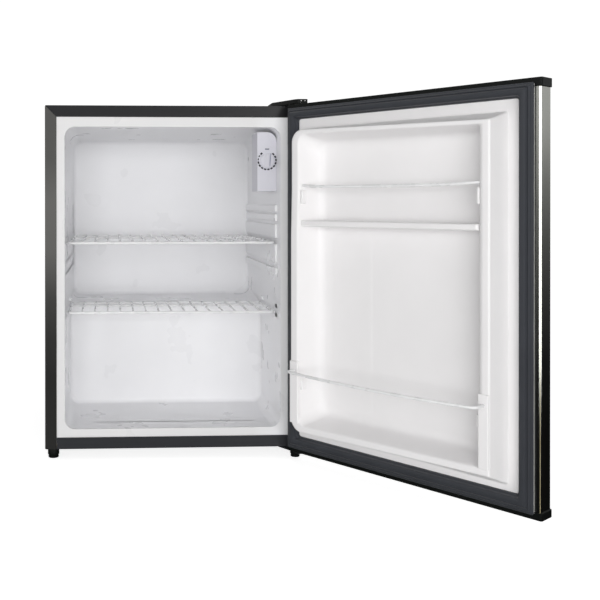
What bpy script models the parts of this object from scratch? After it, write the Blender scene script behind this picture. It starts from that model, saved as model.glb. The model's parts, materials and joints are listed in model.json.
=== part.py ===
"""Compact refrigerator with its door open, one object for each physical piece.

Frame: metres, +Z up, the front faces -Y and the door is hinged on the +X side.
The origin is on the floor, under the centre of the cabinet. Door pieces are
drawn as they lie with the door shut, then the empty on the hinge axis swings
them open.
"""

import math

import bmesh
import bpy
from mathutils import Matrix, Vector

MM = 0.001

# Fit between neighbouring pieces, and how far a cutter starts before what it cuts
GAP = 0.3 * MM
CUT_AHEAD = 30 * MM

# Cabinet
CAB_W = 445 * MM
CAB_D = 425 * MM
CAB_H = 596 * MM
FOOT_H = 18 * MM
SHEET = 1.0 * MM
STEEL_FLANGE = 20 * MM
RAIL_LIP_Y = 30 * MM
HALF_W = CAB_W / 2
TOP_Z = FOOT_H + CAB_H
INNER_X = HALF_W - SHEET

# Food compartment
CAVITY_HALF_W = 188.5 * MM
CAVITY_FLOOR_Z = 52 * MM
CAVITY_CEILING_Z = 577 * MM
UPPER_DEPTH = 370 * MM
LOWER_DEPTH = 200 * MM
HUMP_Z = 248 * MM
CAVITY_RADIUS = 17 * MM
LINER_T = 2.0 * MM
LINER_FRONT_Y = 1.3 * MM
LINER_FLANGE_X = 214 * MM
LINER_FLANGE_Z = (26 * MM, 606 * MM)

# Compressor bay under the hump
BAY_FRONT_Y = 230 * MM
BAY_CEILING_Z = 217 * MM

# Shelf supports moulded on both side walls, in millimetres: bars with slots between
# them for the upper shelf, and short nubs above and below the lower one
SUPPORT_OUT = 5 * MM
PAD_Y = (34, 270)
PAD_BARS_Z = ((316, 328), (338, 370.8), (381.6, 406), (416, 439))
NUBS_Y = ((34, 52), (172, 189))
NUBS_Z = ((239.3, 246.8), (255.2, 262.7))

# Cold plate behind the liner
EVAPORATOR_HALF_W = 150 * MM
EVAPORATOR_Z = (300 * MM, 540 * MM)
EVAPORATOR_T = 1.6 * MM

# Condenser tube inside each side wall
CONDENSER_PASSES = 6
CONDENSER_Y = (70 * MM, 380 * MM)
CONDENSER_LOW_Z = 260 * MM
CONDENSER_STEP = 60 * MM
CONDENSER_R = 2.4 * MM
CONDENSER_BEND = 20 * MM
CONDENSER_INSET = 3 * MM
COIL_POCKET_DEPTH = 6.5 * MM
COIL_POCKET_MARGIN = 20 * MM

# Wire shelves
SHELF_ROD_R = 2.4 * MM
MIDDLE_ROD_R = 2.0 * MM
SHELF_WIRE_R = 1.6 * MM
SHELF_HALF_W = 183 * MM
SHELF_FRONT_Y = 37 * MM
SHELF_PITCH = 22 * MM
WELD_IN = 0.7 * MM
WIRE_LIFT = 0.35 * MM
UPPER_SHELF_Z = 373.5 * MM
UPPER_SHELF_BACK_Y = 360 * MM
LOWER_SHELF_Z = 249.5 * MM
LOWER_SHELF_BACK_Y = 190 * MM

# Thermostat in the top right corner of the food compartment
DIAL_X = 171 * MM
DIAL_Z = 520.5 * MM
HOUSING_X = (153.5 * MM, CAVITY_HALF_W - GAP)
HOUSING_Y = (36 * MM, 96 * MM)
HOUSING_Z = (465.5 * MM, 571 * MM)
HOUSING_T = 2 * MM
KNOB_R = 12.5 * MM
KNOB_FRONT_Y = 30.8 * MM
SHAFT_R = 3 * MM

# Door, shut
DOOR_OPEN_DEG = 127.4
HINGE_X = 211.5 * MM
HINGE_Y = -27.2 * MM
DOOR_Z = (19.6 * MM, 612.7 * MM)
DOOR_FRONT_Y = -44.2 * MM
DOOR_BACK_Y = -13.6 * MM
CAP_PROUD = 1.5 * MM
TOP_CAP_H = 12 * MM
BOTTOM_CAP_H = 10.5 * MM
DOOR_SHEET = 0.8 * MM
PANEL_RADIUS = 3 * MM
PANEL_HALF_W = HALF_W - CAP_PROUD
PANEL_Z = (DOOR_Z[0] + BOTTOM_CAP_H + GAP, DOOR_Z[1] - TOP_CAP_H - GAP)

# Inner door liner, shut: a flange, a raised ring and a shallow tray inside it
DOOR_FLANGE_Y = -12 * MM
DOOR_FLANGE_X = 217 * MM
DOOR_FLANGE_Z = (27 * MM, 606 * MM)
DOOR_LINER_T = 1.5 * MM
RING_BASE_X = 176 * MM
RING_BASE_Z = (65 * MM, 573 * MM)
RING_CREST_Y = 29 * MM
RING_CREST_X = 171 * MM
RING_CREST_Z = (71 * MM, 567 * MM)
RING_RADIUS = 22 * MM
TRAY_TOP_X = 158 * MM
TRAY_TOP_Z = (85 * MM, 554 * MM)
TRAY_FLOOR_X = 145 * MM
TRAY_FLOOR_Z = (96 * MM, 544 * MM)
TRAY_FLOOR_Y = -14 * MM
LEDGE_Z = (406 * MM, 416.5 * MM)
LEDGE_FRONT_Y = 26 * MM
RAIL_R = 2.2 * MM
UPPER_RAIL_Z = 470 * MM
LOWER_RAIL_Z = 171 * MM

# Door seal
GASKET_OUT_X = 217 * MM
GASKET_IN_X = 193 * MM
GASKET_OUT_Z = (27 * MM, 606 * MM)
GASKET_IN_Z = (50 * MM, 586 * MM)
GASKET_BACK_Y = -1.0 * MM

# Hinges and feet
PIN_R = 4 * MM
PIN_PLAY = 0.35 * MM
BUSH_R = 7 * MM
HINGE_PLATE_T = 2.5 * MM
COVER_TOP_Z = TOP_Z + 8 * MM
TOP_HINGE_OUTLINE = [
    (177, 20), (205, -34), (210, -40), (227, -40), (227, -8), (222.5, 0), (222.5, 60), (177, 60),
]
TOP_HINGE_SCREWS = [(188, 46), (210, 46)]
COVER_WALL = 2 * MM
LOW_HINGE_OUTLINE = [(186, 8), (205, -22), (208, -38), (222.5, -38), (222.5, 60), (186, 60)]
LOW_HINGE_SCREWS = [(194, 34), (212, 46)]
SCREW_R = 4.2 * MM
SCREW_H = 2.2 * MM
LEFT_FOOT = (-209 * MM, 18 * MM, 10 * MM)
RIGHT_FOOT = (214.5 * MM, 3 * MM, 8.75 * MM)
REAR_FOOT = (195 * MM, 400 * MM, 10 * MM)
STUD_R = 3 * MM
STUD_ROOT = 2 * MM
FOOT_TAPER = 0.9

# Compressor
COMP_X = -70 * MM
COMP_Y = 330 * MM
COMP_PLATE_Z = 34 * MM
COMP_R = 70 * MM
COMP_STRETCH = 1.25
COMP_TOP_Z = 176 * MM
COMP_BOLT = (74 * MM, 58 * MM)
COMP_FOOT_T = 2.5 * MM
BOLT_R = 3 * MM
BASE_PLATE_T = 2 * MM

# Starter relay, cord gland, drip tray and pipes round the compressor
RELAY_CLEAR = 5 * MM
RELAY_W = 34 * MM
RELAY_HALF_D = 28 * MM
RELAY_Z = (70 * MM, 128 * MM)
GLAND_R = 7 * MM
GLAND_BORE_R = 3.6 * MM
GLAND_LEN = 10 * MM
GLAND_Z = 84 * MM
DRIP_HALF_W = 80 * MM
DRIP_HALF_D = 62 * MM
DRIP_H = 24 * MM
DRIP_WALL = 2 * MM
DRIP_CLEAR = 3 * MM
PIPE_SIDE_Y = 48 * MM
PIPE_CLEAR = 3.2 * MM
DISCHARGE_R = 2.5 * MM
DISCHARGE_Z = (60 * MM, 100 * MM)
DISCHARGE_X = (55 * MM, 100 * MM)
SUCTION_R = 3.2 * MM
SUCTION_Z = 118 * MM
SUCTION_X = 70 * MM
DRIER_X = 140 * MM
DRIER_Y = 20 * MM
DRIER_OUTLINE = [(0, 196), (3, 194), (9, 186), (9, 116), (3, 104), (2.6, 92), (0, 92)]

SCENE = bpy.context.scene


def clear_scene():
    for thing in list(bpy.data.objects):
        bpy.data.objects.remove(thing)


def new_collection(name):
    group = bpy.data.collections.new(name)
    SCENE.collection.children.link(group)
    return group


def finish(name, rgb, roughness, metallic):
    paint = bpy.data.materials.new(name)
    paint.use_nodes = True
    shader = paint.node_tree.nodes["Principled BSDF"]
    shader.inputs["Base Color"].default_value = (*rgb, 1.0)
    shader.inputs["Roughness"].default_value = roughness
    shader.inputs["Metallic"].default_value = metallic
    return paint


def add_mesh(name, bm, paint=None):
    """Makes a part from a bmesh, or a cutter where no paint is given."""
    mesh = bpy.data.meshes.new(name)
    bmesh.ops.recalc_face_normals(bm, faces=bm.faces)
    bm.to_mesh(mesh)
    bm.free()
    thing = bpy.data.objects.new(name, mesh)
    if paint is None:
        CUTTERS.objects.link(thing)
        thing.hide_render = True
        thing.display_type = "WIRE"
    else:
        FRIDGE.objects.link(thing)
        own = paint.copy()
        own.name = name
        mesh.materials.append(own)
        mesh.shade_smooth()
        mesh.set_sharp_from_angle(angle=math.radians(30))
    return thing


def box_bm(low, high, radius=0.0, segments=2, edges=None):
    """A cube between two corners; edges picks the ones to round, all by default."""
    bm = bmesh.new()
    bmesh.ops.create_cube(bm, size=1.0)
    low, high = Vector(low), Vector(high)
    size = high - low
    bmesh.ops.scale(bm, vec=size, verts=bm.verts)
    bmesh.ops.translate(bm, vec=(low + high) / 2, verts=bm.verts)
    if radius:
        round_edges(bm, radius, segments, edges)
    return bm


def round_edges(bm, radius, segments, edges=None):
    chosen = [e for e in bm.edges if edges is None or edges(e)]
    bmesh.ops.bevel(
        bm, geom=chosen, offset=radius, segments=segments, profile=0.5, affect="EDGES"
    )


def along(axis):
    """Picks the edges that run mostly along one axis."""

    def test(edge):
        run = edge.verts[1].co - edge.verts[0].co
        return abs(run[axis]) > 0.8 * run.length

    return test


def box(name, low, high, paint=None, radius=0.0, segments=2, edges=None):
    return add_mesh(name, box_bm(low, high, radius, segments, edges), paint)


def frustum_bm(near, far, radius, segments):
    """A tapered block along Y: near and far are (y, half width, (bottom z, top z))."""
    bm = bmesh.new()
    bmesh.ops.create_cube(bm, size=1.0)
    for vert in bm.verts:
        y, half, heights = near if vert.co.y < 0 else far
        side = math.copysign(half, vert.co.x)
        vert.co = Vector((side, y, heights[1] if vert.co.z > 0 else heights[0]))
    round_edges(bm, radius, segments, along(1))
    return bm


def cylinder_bm(radius, low, high, at, axis=2, sides=16, top_radius=None):
    """A cylinder or cone along an axis (0, 1 or 2), from low to high on that axis."""
    bm = bmesh.new()
    far = radius if top_radius is None else top_radius
    bmesh.ops.create_cone(
        bm, cap_ends=True, segments=sides, radius1=radius, radius2=far, depth=high - low
    )
    bmesh.ops.translate(bm, vec=(0, 0, (low + high) / 2), verts=bm.verts)
    turn = {
        0: Matrix.Rotation(math.pi / 2, 3, "Y"),
        1: Matrix.Rotation(-math.pi / 2, 3, "X"),
        2: Matrix.Identity(3),
    }[axis]
    bmesh.ops.transform(bm, matrix=turn.to_4x4(), verts=bm.verts)
    bmesh.ops.translate(bm, vec=at, verts=bm.verts)
    return bm


def cylinder(name, radius, low, high, at, paint=None, axis=2, sides=16, top_radius=None):
    bm = cylinder_bm(radius, low, high, at, axis, sides, top_radius)
    return add_mesh(name, bm, paint)


def curve_mesh(name, curve, paint=None):
    """Turns a curve into a welded mesh, so that it can be cut or joined."""
    source = bpy.data.objects.new(name + "_curve", curve)
    SCENE.collection.objects.link(source)
    depsgraph = bpy.context.evaluated_depsgraph_get()
    mesh = bpy.data.meshes.new_from_object(source.evaluated_get(depsgraph))
    place = source.matrix_world.copy()
    bpy.data.objects.remove(source)
    bm = bmesh.new()
    bm.from_mesh(mesh)
    bmesh.ops.remove_doubles(bm, verts=bm.verts, dist=1e-6)
    thing = add_mesh(name, bm, paint)
    thing.matrix_world = place
    return thing


def poly_curve(name, points, cyclic=False):
    curve = bpy.data.curves.new(name, "CURVE")
    spline = curve.splines.new("POLY")
    spline.points.add(len(points) - 1)
    for point, co in zip(spline.points, points):
        point.co = (*co, 1.0)
    spline.use_cyclic_u = cyclic
    return curve


def tube(name, points, radius, paint=None, rings=2):
    curve = poly_curve(name, points)
    curve.dimensions = "3D"
    curve.bevel_depth = radius
    curve.bevel_resolution = rings
    curve.use_fill_caps = True
    return curve_mesh(name, curve, paint)


def plate(name, outline, low, high, paint=None):
    """A flat outline in X and Y, given in millimetres, between two heights."""
    curve = poly_curve(name, [(x * MM, y * MM, 0) for x, y in outline], cyclic=True)
    curve.dimensions = "2D"
    curve.fill_mode = "BOTH"
    curve.extrude = (high - low) / 2
    thing = curve_mesh(name, curve, paint)
    for vert in thing.data.vertices:
        vert.co.z += (low + high) / 2
    return thing


def boolean(target, operand, operation="DIFFERENCE"):
    step = target.modifiers.new(operand.name, "BOOLEAN")
    step.operation = operation
    step.solver = "EXACT"
    step.object = operand
    return target


def merge(name, builders, paint=None):
    """Joins several separate bmesh solids into one mesh."""
    whole = bmesh.new()
    for bm in builders:
        part = bpy.data.meshes.new("part")
        bm.to_mesh(part)
        bm.free()
        whole.from_mesh(part)
        bpy.data.meshes.remove(part)
    return add_mesh(name, whole, paint)


def fillet_path(corners, radius, steps=4):
    """Replaces each inner corner of a path by an arc."""
    path = [Vector(corners[0])]
    for before, corner, after in zip(corners, corners[1:], corners[2:]):
        before, corner, after = Vector(before), Vector(corner), Vector(after)
        start = corner + (before - corner).normalized() * radius
        end = corner + (after - corner).normalized() * radius
        for i in range(steps + 1):
            t = i / steps
            path.append((1 - t) ** 2 * start + 2 * t * (1 - t) * corner + t * t * end)
    path.append(Vector(corners[-1]))
    return path


# Cabinet -------------------------------------------------------------------


def build_outer_shell():
    """Bent steel wrap: left side, top and right side with a front flange."""
    low = (-HALF_W, 0, FOOT_H)
    high = (HALF_W, CAB_D, TOP_Z)
    shell = box("outer_shell", low, high, BLACK_STEEL, 2.5 * MM, 2, along(1))
    inside = box(
        "shell_inside", (-INNER_X, SHEET, 0), (INNER_X, CAB_D + SHEET, TOP_Z - SHEET)
    )
    mouth_x = HALF_W - STEEL_FLANGE
    mouth = box("shell_mouth", (-mouth_x, -SHEET, 0), (mouth_x, 2 * SHEET, TOP_Z - STEEL_FLANGE))
    boolean(shell, inside)
    return boolean(shell, mouth)


def build_front_rail():
    """Bottom cross rail: the visible flange and the lip that the left foot screws into."""
    mouth_x = HALF_W - STEEL_FLANGE - GAP
    rail = box("front_rail", (-mouth_x, 0, FOOT_H), (mouth_x, SHEET, FOOT_H + STEEL_FLANGE), BLACK_STEEL)
    lip_x = INNER_X - GAP
    lip = box("rail_lip", (-lip_x, SHEET + GAP, FOOT_H), (lip_x, RAIL_LIP_Y, FOOT_H + SHEET))
    web = box("rail_web", (-mouth_x, SHEET / 2, FOOT_H), (mouth_x, RAIL_LIP_Y / 2, FOOT_H + SHEET))
    boolean(rail, web, "UNION")
    boolean(rail, lip, "UNION")
    x, y, _ = LEFT_FOOT
    boolean(rail, cylinder("rail_foot_hole", STUD_R + GAP, 0, 2 * FOOT_H, (x, y, 0), sides=12))
    return rail


def cavity_bm(grow, front_y, all_round=True):
    """The food compartment as a solid, L-shaped from the side, grown by a wall.

    The edge over the compressor hump is always rounded, the others if all_round is set.
    """
    low_z, high_z = CAVITY_FLOOR_Z - grow, CAVITY_CEILING_Z + grow
    hump = HUMP_Z - grow
    upper, lower = UPPER_DEPTH + grow, LOWER_DEPTH + grow
    profile = [
        (front_y, low_z),
        (lower, low_z),
        (lower, hump),
        (upper, hump),
        (upper, high_z),
        (front_y, high_z),
    ]
    bm = bmesh.new()
    half = CAVITY_HALF_W + grow
    verts = [bm.verts.new((-half, y, z)) for y, z in profile]
    face = bm.faces.new(verts)
    moved = bmesh.ops.extrude_face_region(bm, geom=[face])["geom"]
    top = [v for v in moved if isinstance(v, bmesh.types.BMVert)]
    bmesh.ops.translate(bm, vec=(2 * half, 0, 0), verts=top)
    bmesh.ops.recalc_face_normals(bm, faces=bm.faces)

    def over_hump(edge):
        mid = (edge.verts[0].co + edge.verts[1].co) / 2
        return along(0)(edge) and (mid - Vector((0, lower, hump))).length < 1 * MM

    round_edges(bm, CAVITY_RADIUS, 3, None if all_round else over_hump)
    return bm


def shelf_support_bars():
    """Solid bars for the shelf supports of both side walls."""
    bars = [(z, PAD_Y) for z in PAD_BARS_Z] + [(z, y) for z in NUBS_Z for y in NUBS_Y]
    made = []
    for side in (-1, 1):
        x = sorted((side * (CAVITY_HALF_W - SUPPORT_OUT), side * (CAVITY_HALF_W + LINER_T / 2)))
        for (low_z, high_z), (front, back) in bars:
            low, high = (x[0], front * MM, low_z * MM), (x[1], back * MM, high_z * MM)
            made.append(box_bm(low, high, 1 * MM, 1))
    return made


def build_inner_liner():
    """Vacuum-formed liner with its front flange, compressor hump and shelf supports."""
    outer = cavity_bm(LINER_T, LINER_FRONT_Y)
    liner = add_mesh("inner_liner", outer, WHITE_PLASTIC)
    flange = box(
        "liner_flange",
        (-LINER_FLANGE_X, LINER_FRONT_Y, LINER_FLANGE_Z[0]),
        (LINER_FLANGE_X, LINER_FRONT_Y + LINER_T, LINER_FLANGE_Z[1]),
    )
    nose_y = LINER_FRONT_Y + 2 * CAVITY_RADIUS
    nose = box(
        "liner_nose",
        (-CAVITY_HALF_W - LINER_T, LINER_FRONT_Y, CAVITY_FLOOR_Z - LINER_T),
        (CAVITY_HALF_W + LINER_T, nose_y, CAVITY_CEILING_Z + LINER_T),
        radius=CAVITY_RADIUS,
        segments=3,
        edges=along(1),
    )
    boolean(liner, nose, "UNION")
    boolean(liner, flange, "UNION")
    boolean(liner, add_mesh("liner_cavity", cavity_bm(0, -CUT_AHEAD)))
    return boolean(liner, merge("liner_supports", shelf_support_bars()), "UNION")


def build_foam():
    """Polyurethane foam between the liner and the steel, stepped over the compressor bay."""
    front = LINER_FRONT_Y + LINER_T + GAP
    low = (-INNER_X + GAP, front, FOOT_H + SHEET + 2 * GAP)
    high = (INNER_X - GAP, CAB_D - SHEET - 2 * GAP, TOP_Z - SHEET - GAP)
    foam = box("cabinet_foam", low, high, FOAM)
    boolean(foam, add_mesh("foam_hollow", cavity_bm(LINER_T + GAP, -CUT_AHEAD, all_round=False)))
    bay_y = BAY_FRONT_Y - GAP
    bay = box("foam_bay", (-HALF_W, bay_y, 0), (HALF_W, CAB_D + SHEET, BAY_CEILING_Z + SHEET + GAP))
    boolean(foam, bay)
    boolean(foam, box("foam_evaporator_pocket", *evaporator_box(GAP)))
    pocket_y = grown(CONDENSER_Y, COIL_POCKET_MARGIN)
    coil_top = CONDENSER_LOW_Z + (CONDENSER_PASSES - 1) * CONDENSER_STEP
    pocket_z = grown((CONDENSER_LOW_Z, coil_top), COIL_POCKET_MARGIN)
    for side, name in ((-1, "left"), (1, "right")):
        x = sorted((side * HALF_W, side * (INNER_X - COIL_POCKET_DEPTH)))
        low, high = (x[0], pocket_y[0], pocket_z[0]), (x[1], pocket_y[1], pocket_z[1])
        boolean(foam, box(f"foam_coil_pocket_{name}", low, high))
    return foam


def grown(span, by):
    return span[0] - by, span[1] + by


def evaporator_box(grow=0.0):
    """Corners of the cold plate, or of the pocket for it in the foam."""
    front, (bottom, top) = UPPER_DEPTH + LINER_T + GAP, grown(EVAPORATOR_Z, grow)
    half = EVAPORATOR_HALF_W + grow
    return (-half, front - grow, bottom), (half, front + EVAPORATOR_T + grow, top)


def build_evaporator():
    """Cold plate bonded behind the back wall of the liner."""
    low, high = evaporator_box()
    return box("evaporator_plate", low, high, ALUMINIUM)


def build_condenser(side, name):
    """Serpentine tube taped to the inside of one steel side wall."""
    x = side * (INNER_X - CONDENSER_INSET)
    front, back = CONDENSER_Y
    corners = []
    for i in range(CONDENSER_PASSES):
        z = CONDENSER_LOW_Z + i * CONDENSER_STEP
        ends = (front, back) if i % 2 == 0 else (back, front)
        corners += [(x, ends[0], z), (x, ends[1], z)]
    return tube(name, fillet_path(corners, CONDENSER_BEND, 3), CONDENSER_R, COPPER, rings=1)


def build_base_plate():
    """Stepped bottom sheet: floor of the cabinet, then the walls of the compressor bay."""
    x = INNER_X - GAP
    floor_y = RAIL_LIP_Y + GAP
    back_y = CAB_D - SHEET - GAP
    flat = box("base_plate", (-x, floor_y, FOOT_H), (x, BAY_FRONT_Y + SHEET, FOOT_H + SHEET), ZINC)
    riser = box("base_riser", (-x, BAY_FRONT_Y, FOOT_H), (x, BAY_FRONT_Y + SHEET, BAY_CEILING_Z + SHEET))
    roof = box("base_roof", (-x, BAY_FRONT_Y, BAY_CEILING_Z), (x, back_y, BAY_CEILING_Z + SHEET))
    boolean(flat, riser, "UNION")
    boolean(flat, roof, "UNION")
    return flat


def build_back_panel():
    """Rear sheet over the foam."""
    x = INNER_X - GAP
    low = (-x, CAB_D - SHEET, BAY_CEILING_Z + SHEET + GAP)
    return box("back_panel", low, (x, CAB_D, TOP_Z - SHEET - GAP), BLACK_STEEL)


def build_compressor_base():
    """Cross plate at the bottom of the bay that carries the compressor and rear feet."""
    x = INNER_X - GAP
    front = BAY_FRONT_Y + SHEET + 20 * MM
    low = (-x, front, FOOT_H)
    high = (x, CAB_D - GAP, FOOT_H + BASE_PLATE_T)
    deck = box("compressor_base", low, high, ZINC)
    holes = [
        cylinder_bm(BOLT_R + GAP, 0, 2 * FOOT_H, (px, py, 0), sides=12) for px, py in bolt_places()
    ]
    boolean(deck, merge("base_bolt_holes", holes))
    return deck


def bolt_places():
    dx, dy = COMP_BOLT
    return [(COMP_X + sx * dx, COMP_Y + sy * dy) for sx in (-1, 1) for sy in (-1, 1)]


def compressor_profile():
    """Half outline of the steel can, from the top of the dome down to its base."""
    bottom = COMP_PLATE_Z + 1 * MM
    shoulder = 34 * MM
    points = [(0.0, COMP_TOP_Z)]
    for i in range(1, 6):
        angle = math.pi / 2 * i / 5
        r = COMP_R * 0.45 + COMP_R * 0.55 * math.sin(angle)
        points.append((r, COMP_TOP_Z - shoulder * (1 - math.cos(angle))))
    seam_z = (COMP_TOP_Z + bottom) / 2
    points.append((COMP_R, seam_z + 3 * MM))
    points.append((COMP_R + 2.5 * MM, seam_z + 3 * MM))
    points.append((COMP_R + 2.5 * MM, seam_z - 3 * MM))
    points.append((COMP_R, seam_z - 3 * MM))
    points.append((COMP_R, bottom + 20 * MM))
    points.append((COMP_R * 0.75, bottom))
    points.append((0.0, bottom))
    return points


def turned_bm(profile, sides, at, stretch=1.0):
    """Turns a half outline about Z with a Screw modifier and returns it as a bmesh."""
    mesh = bpy.data.meshes.new("profile")
    edges = [(i, i + 1) for i in range(len(profile) - 1)]
    mesh.from_pydata([(r, 0, z) for r, z in profile], edges, [])
    source = bpy.data.objects.new("profile", mesh)
    SCENE.collection.objects.link(source)
    screw = source.modifiers.new("turn", "SCREW")
    screw.steps = sides
    screw.render_steps = sides
    screw.use_merge_vertices = True
    screw.merge_threshold = 0.00001
    depsgraph = bpy.context.evaluated_depsgraph_get()
    turned = bpy.data.meshes.new_from_object(source.evaluated_get(depsgraph))
    bpy.data.objects.remove(source)
    bm = bmesh.new()
    bm.from_mesh(turned)
    bmesh.ops.scale(bm, vec=(stretch, 1, 1), verts=bm.verts)
    bmesh.ops.translate(bm, vec=at, verts=bm.verts)
    return bm


def build_compressor():
    """Hermetic compressor: a domed steel can on a foot plate."""
    can = add_mesh(
        "compressor", turned_bm(compressor_profile(), 24, (COMP_X, COMP_Y, 0), COMP_STRETCH), BLACK_STEEL
    )
    dx, dy = COMP_BOLT
    rim = 14 * MM
    feet = box(
        "compressor_feet",
        (COMP_X - dx - rim, COMP_Y - dy - rim, COMP_PLATE_Z),
        (COMP_X + dx + rim, COMP_Y + dy + rim, COMP_PLATE_Z + COMP_FOOT_T),
        radius=10 * MM,
        segments=2,
        edges=along(2),
    )
    boolean(can, feet, "UNION")
    holes = [
        cylinder_bm(BOLT_R + GAP, FOOT_H, COMP_PLATE_Z + 5 * COMP_FOOT_T, (px, py, 0), sides=12)
        for px, py in bolt_places()
    ]
    boolean(can, merge("compressor_holes", holes))
    return can


def build_compressor_mounts():
    """Rubber grommets and the bolts that hold the compressor down through them."""
    low = FOOT_H + BASE_PLATE_T + GAP
    high = COMP_PLATE_Z - GAP
    for i, (x, y) in enumerate(bolt_places(), 1):
        grommet = cylinder(f"grommet_{i}", 9 * MM, low, high, (x, y, 0), RUBBER, sides=16)
        boolean(grommet, cylinder(f"grommet_bore_{i}", BOLT_R + GAP, 0, 1.5 * high, (x, y, 0), sides=12))
        head_z = COMP_PLATE_Z + COMP_FOOT_T + GAP
        shank = cylinder_bm(BOLT_R, FOOT_H + GAP, head_z + 1 * MM, (x, y, 0), sides=12)
        bolt = add_mesh(f"compressor_bolt_{i}", shank, ZINC)
        head = cylinder(f"bolt_head_{i}", 2 * BOLT_R, head_z, head_z + 4 * MM, (x, y, 0), sides=6)
        boolean(bolt, head, "UNION")


def build_relay_box():
    """Starter relay and overload cover on the side of the compressor, with the cord inlet."""
    x = COMP_X + COMP_R * COMP_STRETCH + RELAY_CLEAR
    low = (x, COMP_Y - RELAY_HALF_D, RELAY_Z[0])
    high = (x + RELAY_W, COMP_Y + RELAY_HALF_D, RELAY_Z[1])
    cover = box("relay_cover", low, high, BLACK_PLASTIC, 4 * MM, 2)
    at, y = (x + RELAY_W / 2, 0, GLAND_Z), high[1]
    gland = cylinder("cord_gland", GLAND_R, y + GAP, y + GLAND_LEN, at, RUBBER, axis=1)
    boolean(gland, cylinder("gland_bore", GLAND_BORE_R, y, y + 2 * GLAND_LEN, at, axis=1, sides=12))
    return cover


def build_drip_tray():
    """Evaporation tray that rests over the warm compressor."""
    low_z = COMP_TOP_Z + DRIP_CLEAR
    low = Vector((COMP_X - DRIP_HALF_W, COMP_Y - DRIP_HALF_D, low_z))
    high = Vector((COMP_X + DRIP_HALF_W, COMP_Y + DRIP_HALF_D, low_z + DRIP_H))
    tray = box("drip_tray", low, high, WHITE_PLASTIC, 8 * MM, 2, along(2))
    wall = Vector((DRIP_WALL, DRIP_WALL, DRIP_WALL))
    top = high - wall + Vector((0, 0, DRIP_H))
    hollow = box("tray_hollow", low + wall, top, radius=8 * MM - DRIP_WALL, segments=2, edges=along(2))
    return boolean(tray, hollow)


def build_refrigerant_lines():
    """Discharge line, suction line and the filter drier in the compressor bay."""
    roof = BAY_CEILING_Z - GAP
    right = COMP_X + COMP_R * COMP_STRETCH
    shell_x = COMP_R * COMP_STRETCH * math.sqrt(1 - (PIPE_SIDE_Y / COMP_R) ** 2)
    start_x = COMP_X + shell_x + PIPE_CLEAR
    y = COMP_Y - PIPE_SIDE_Y
    near_x, far_x = (right + x for x in DISCHARGE_X)
    low_z, high_z = DISCHARGE_Z
    bends = [(near_x, y, high_z), (near_x, y, low_z), (far_x, y, low_z)]
    discharge = [(start_x, y, high_z), *bends, (far_x, y, roof)]
    tube("discharge_line", fillet_path(discharge, 12 * MM), DISCHARGE_R, COPPER)
    y = COMP_Y + PIPE_SIDE_Y
    suction = [(start_x, y, SUCTION_Z), (right + SUCTION_X, y, SUCTION_Z), (right + SUCTION_X, y, roof)]
    tube("suction_line", fillet_path(suction, 14 * MM), SUCTION_R, COPPER)
    profile = [(r * MM, z * MM) for r, z in DRIER_OUTLINE]
    add_mesh("filter_drier", turned_bm(profile, 16, (right + DRIER_X, COMP_Y - DRIER_Y, 0)), COPPER)


# Feet ----------------------------------------------------------------------


def build_levelling_foot(name, place, top, stud_top):
    """Foot that turns on its stud to level the cabinet."""
    x, y, r = place
    foot = cylinder(name, FOOT_TAPER * r, 0, top, (0, 0, 0), BLACK_PLASTIC, sides=20, top_radius=r)
    stud = cylinder(name + "_stud", STUD_R, top - STUD_ROOT, stud_top, (0, 0, 0), sides=12)
    boolean(foot, stud, "UNION")
    foot.location = stud.location = (x, y, 0)


def build_feet():
    """Two front feet that turn, one in the rail and one in the hinge, and two fixed rear feet."""
    build_levelling_foot("foot_front_left", LEFT_FOOT, FOOT_H - GAP, FOOT_H + SHEET - GAP)
    build_levelling_foot(
        "foot_front_right", RIGHT_FOOT, FOOT_H - HINGE_PLATE_T - 2 * GAP, FOOT_H - GAP
    )
    x, y, r = REAR_FOOT
    for side, name in ((-1, "foot_rear_left"), (1, "foot_rear_right")):
        at = (side * x, y, 0)
        cylinder(name, FOOT_TAPER * r, 0, FOOT_H - GAP, at, RUBBER, sides=20, top_radius=r)


# Thermostat ----------------------------------------------------------------


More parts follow.
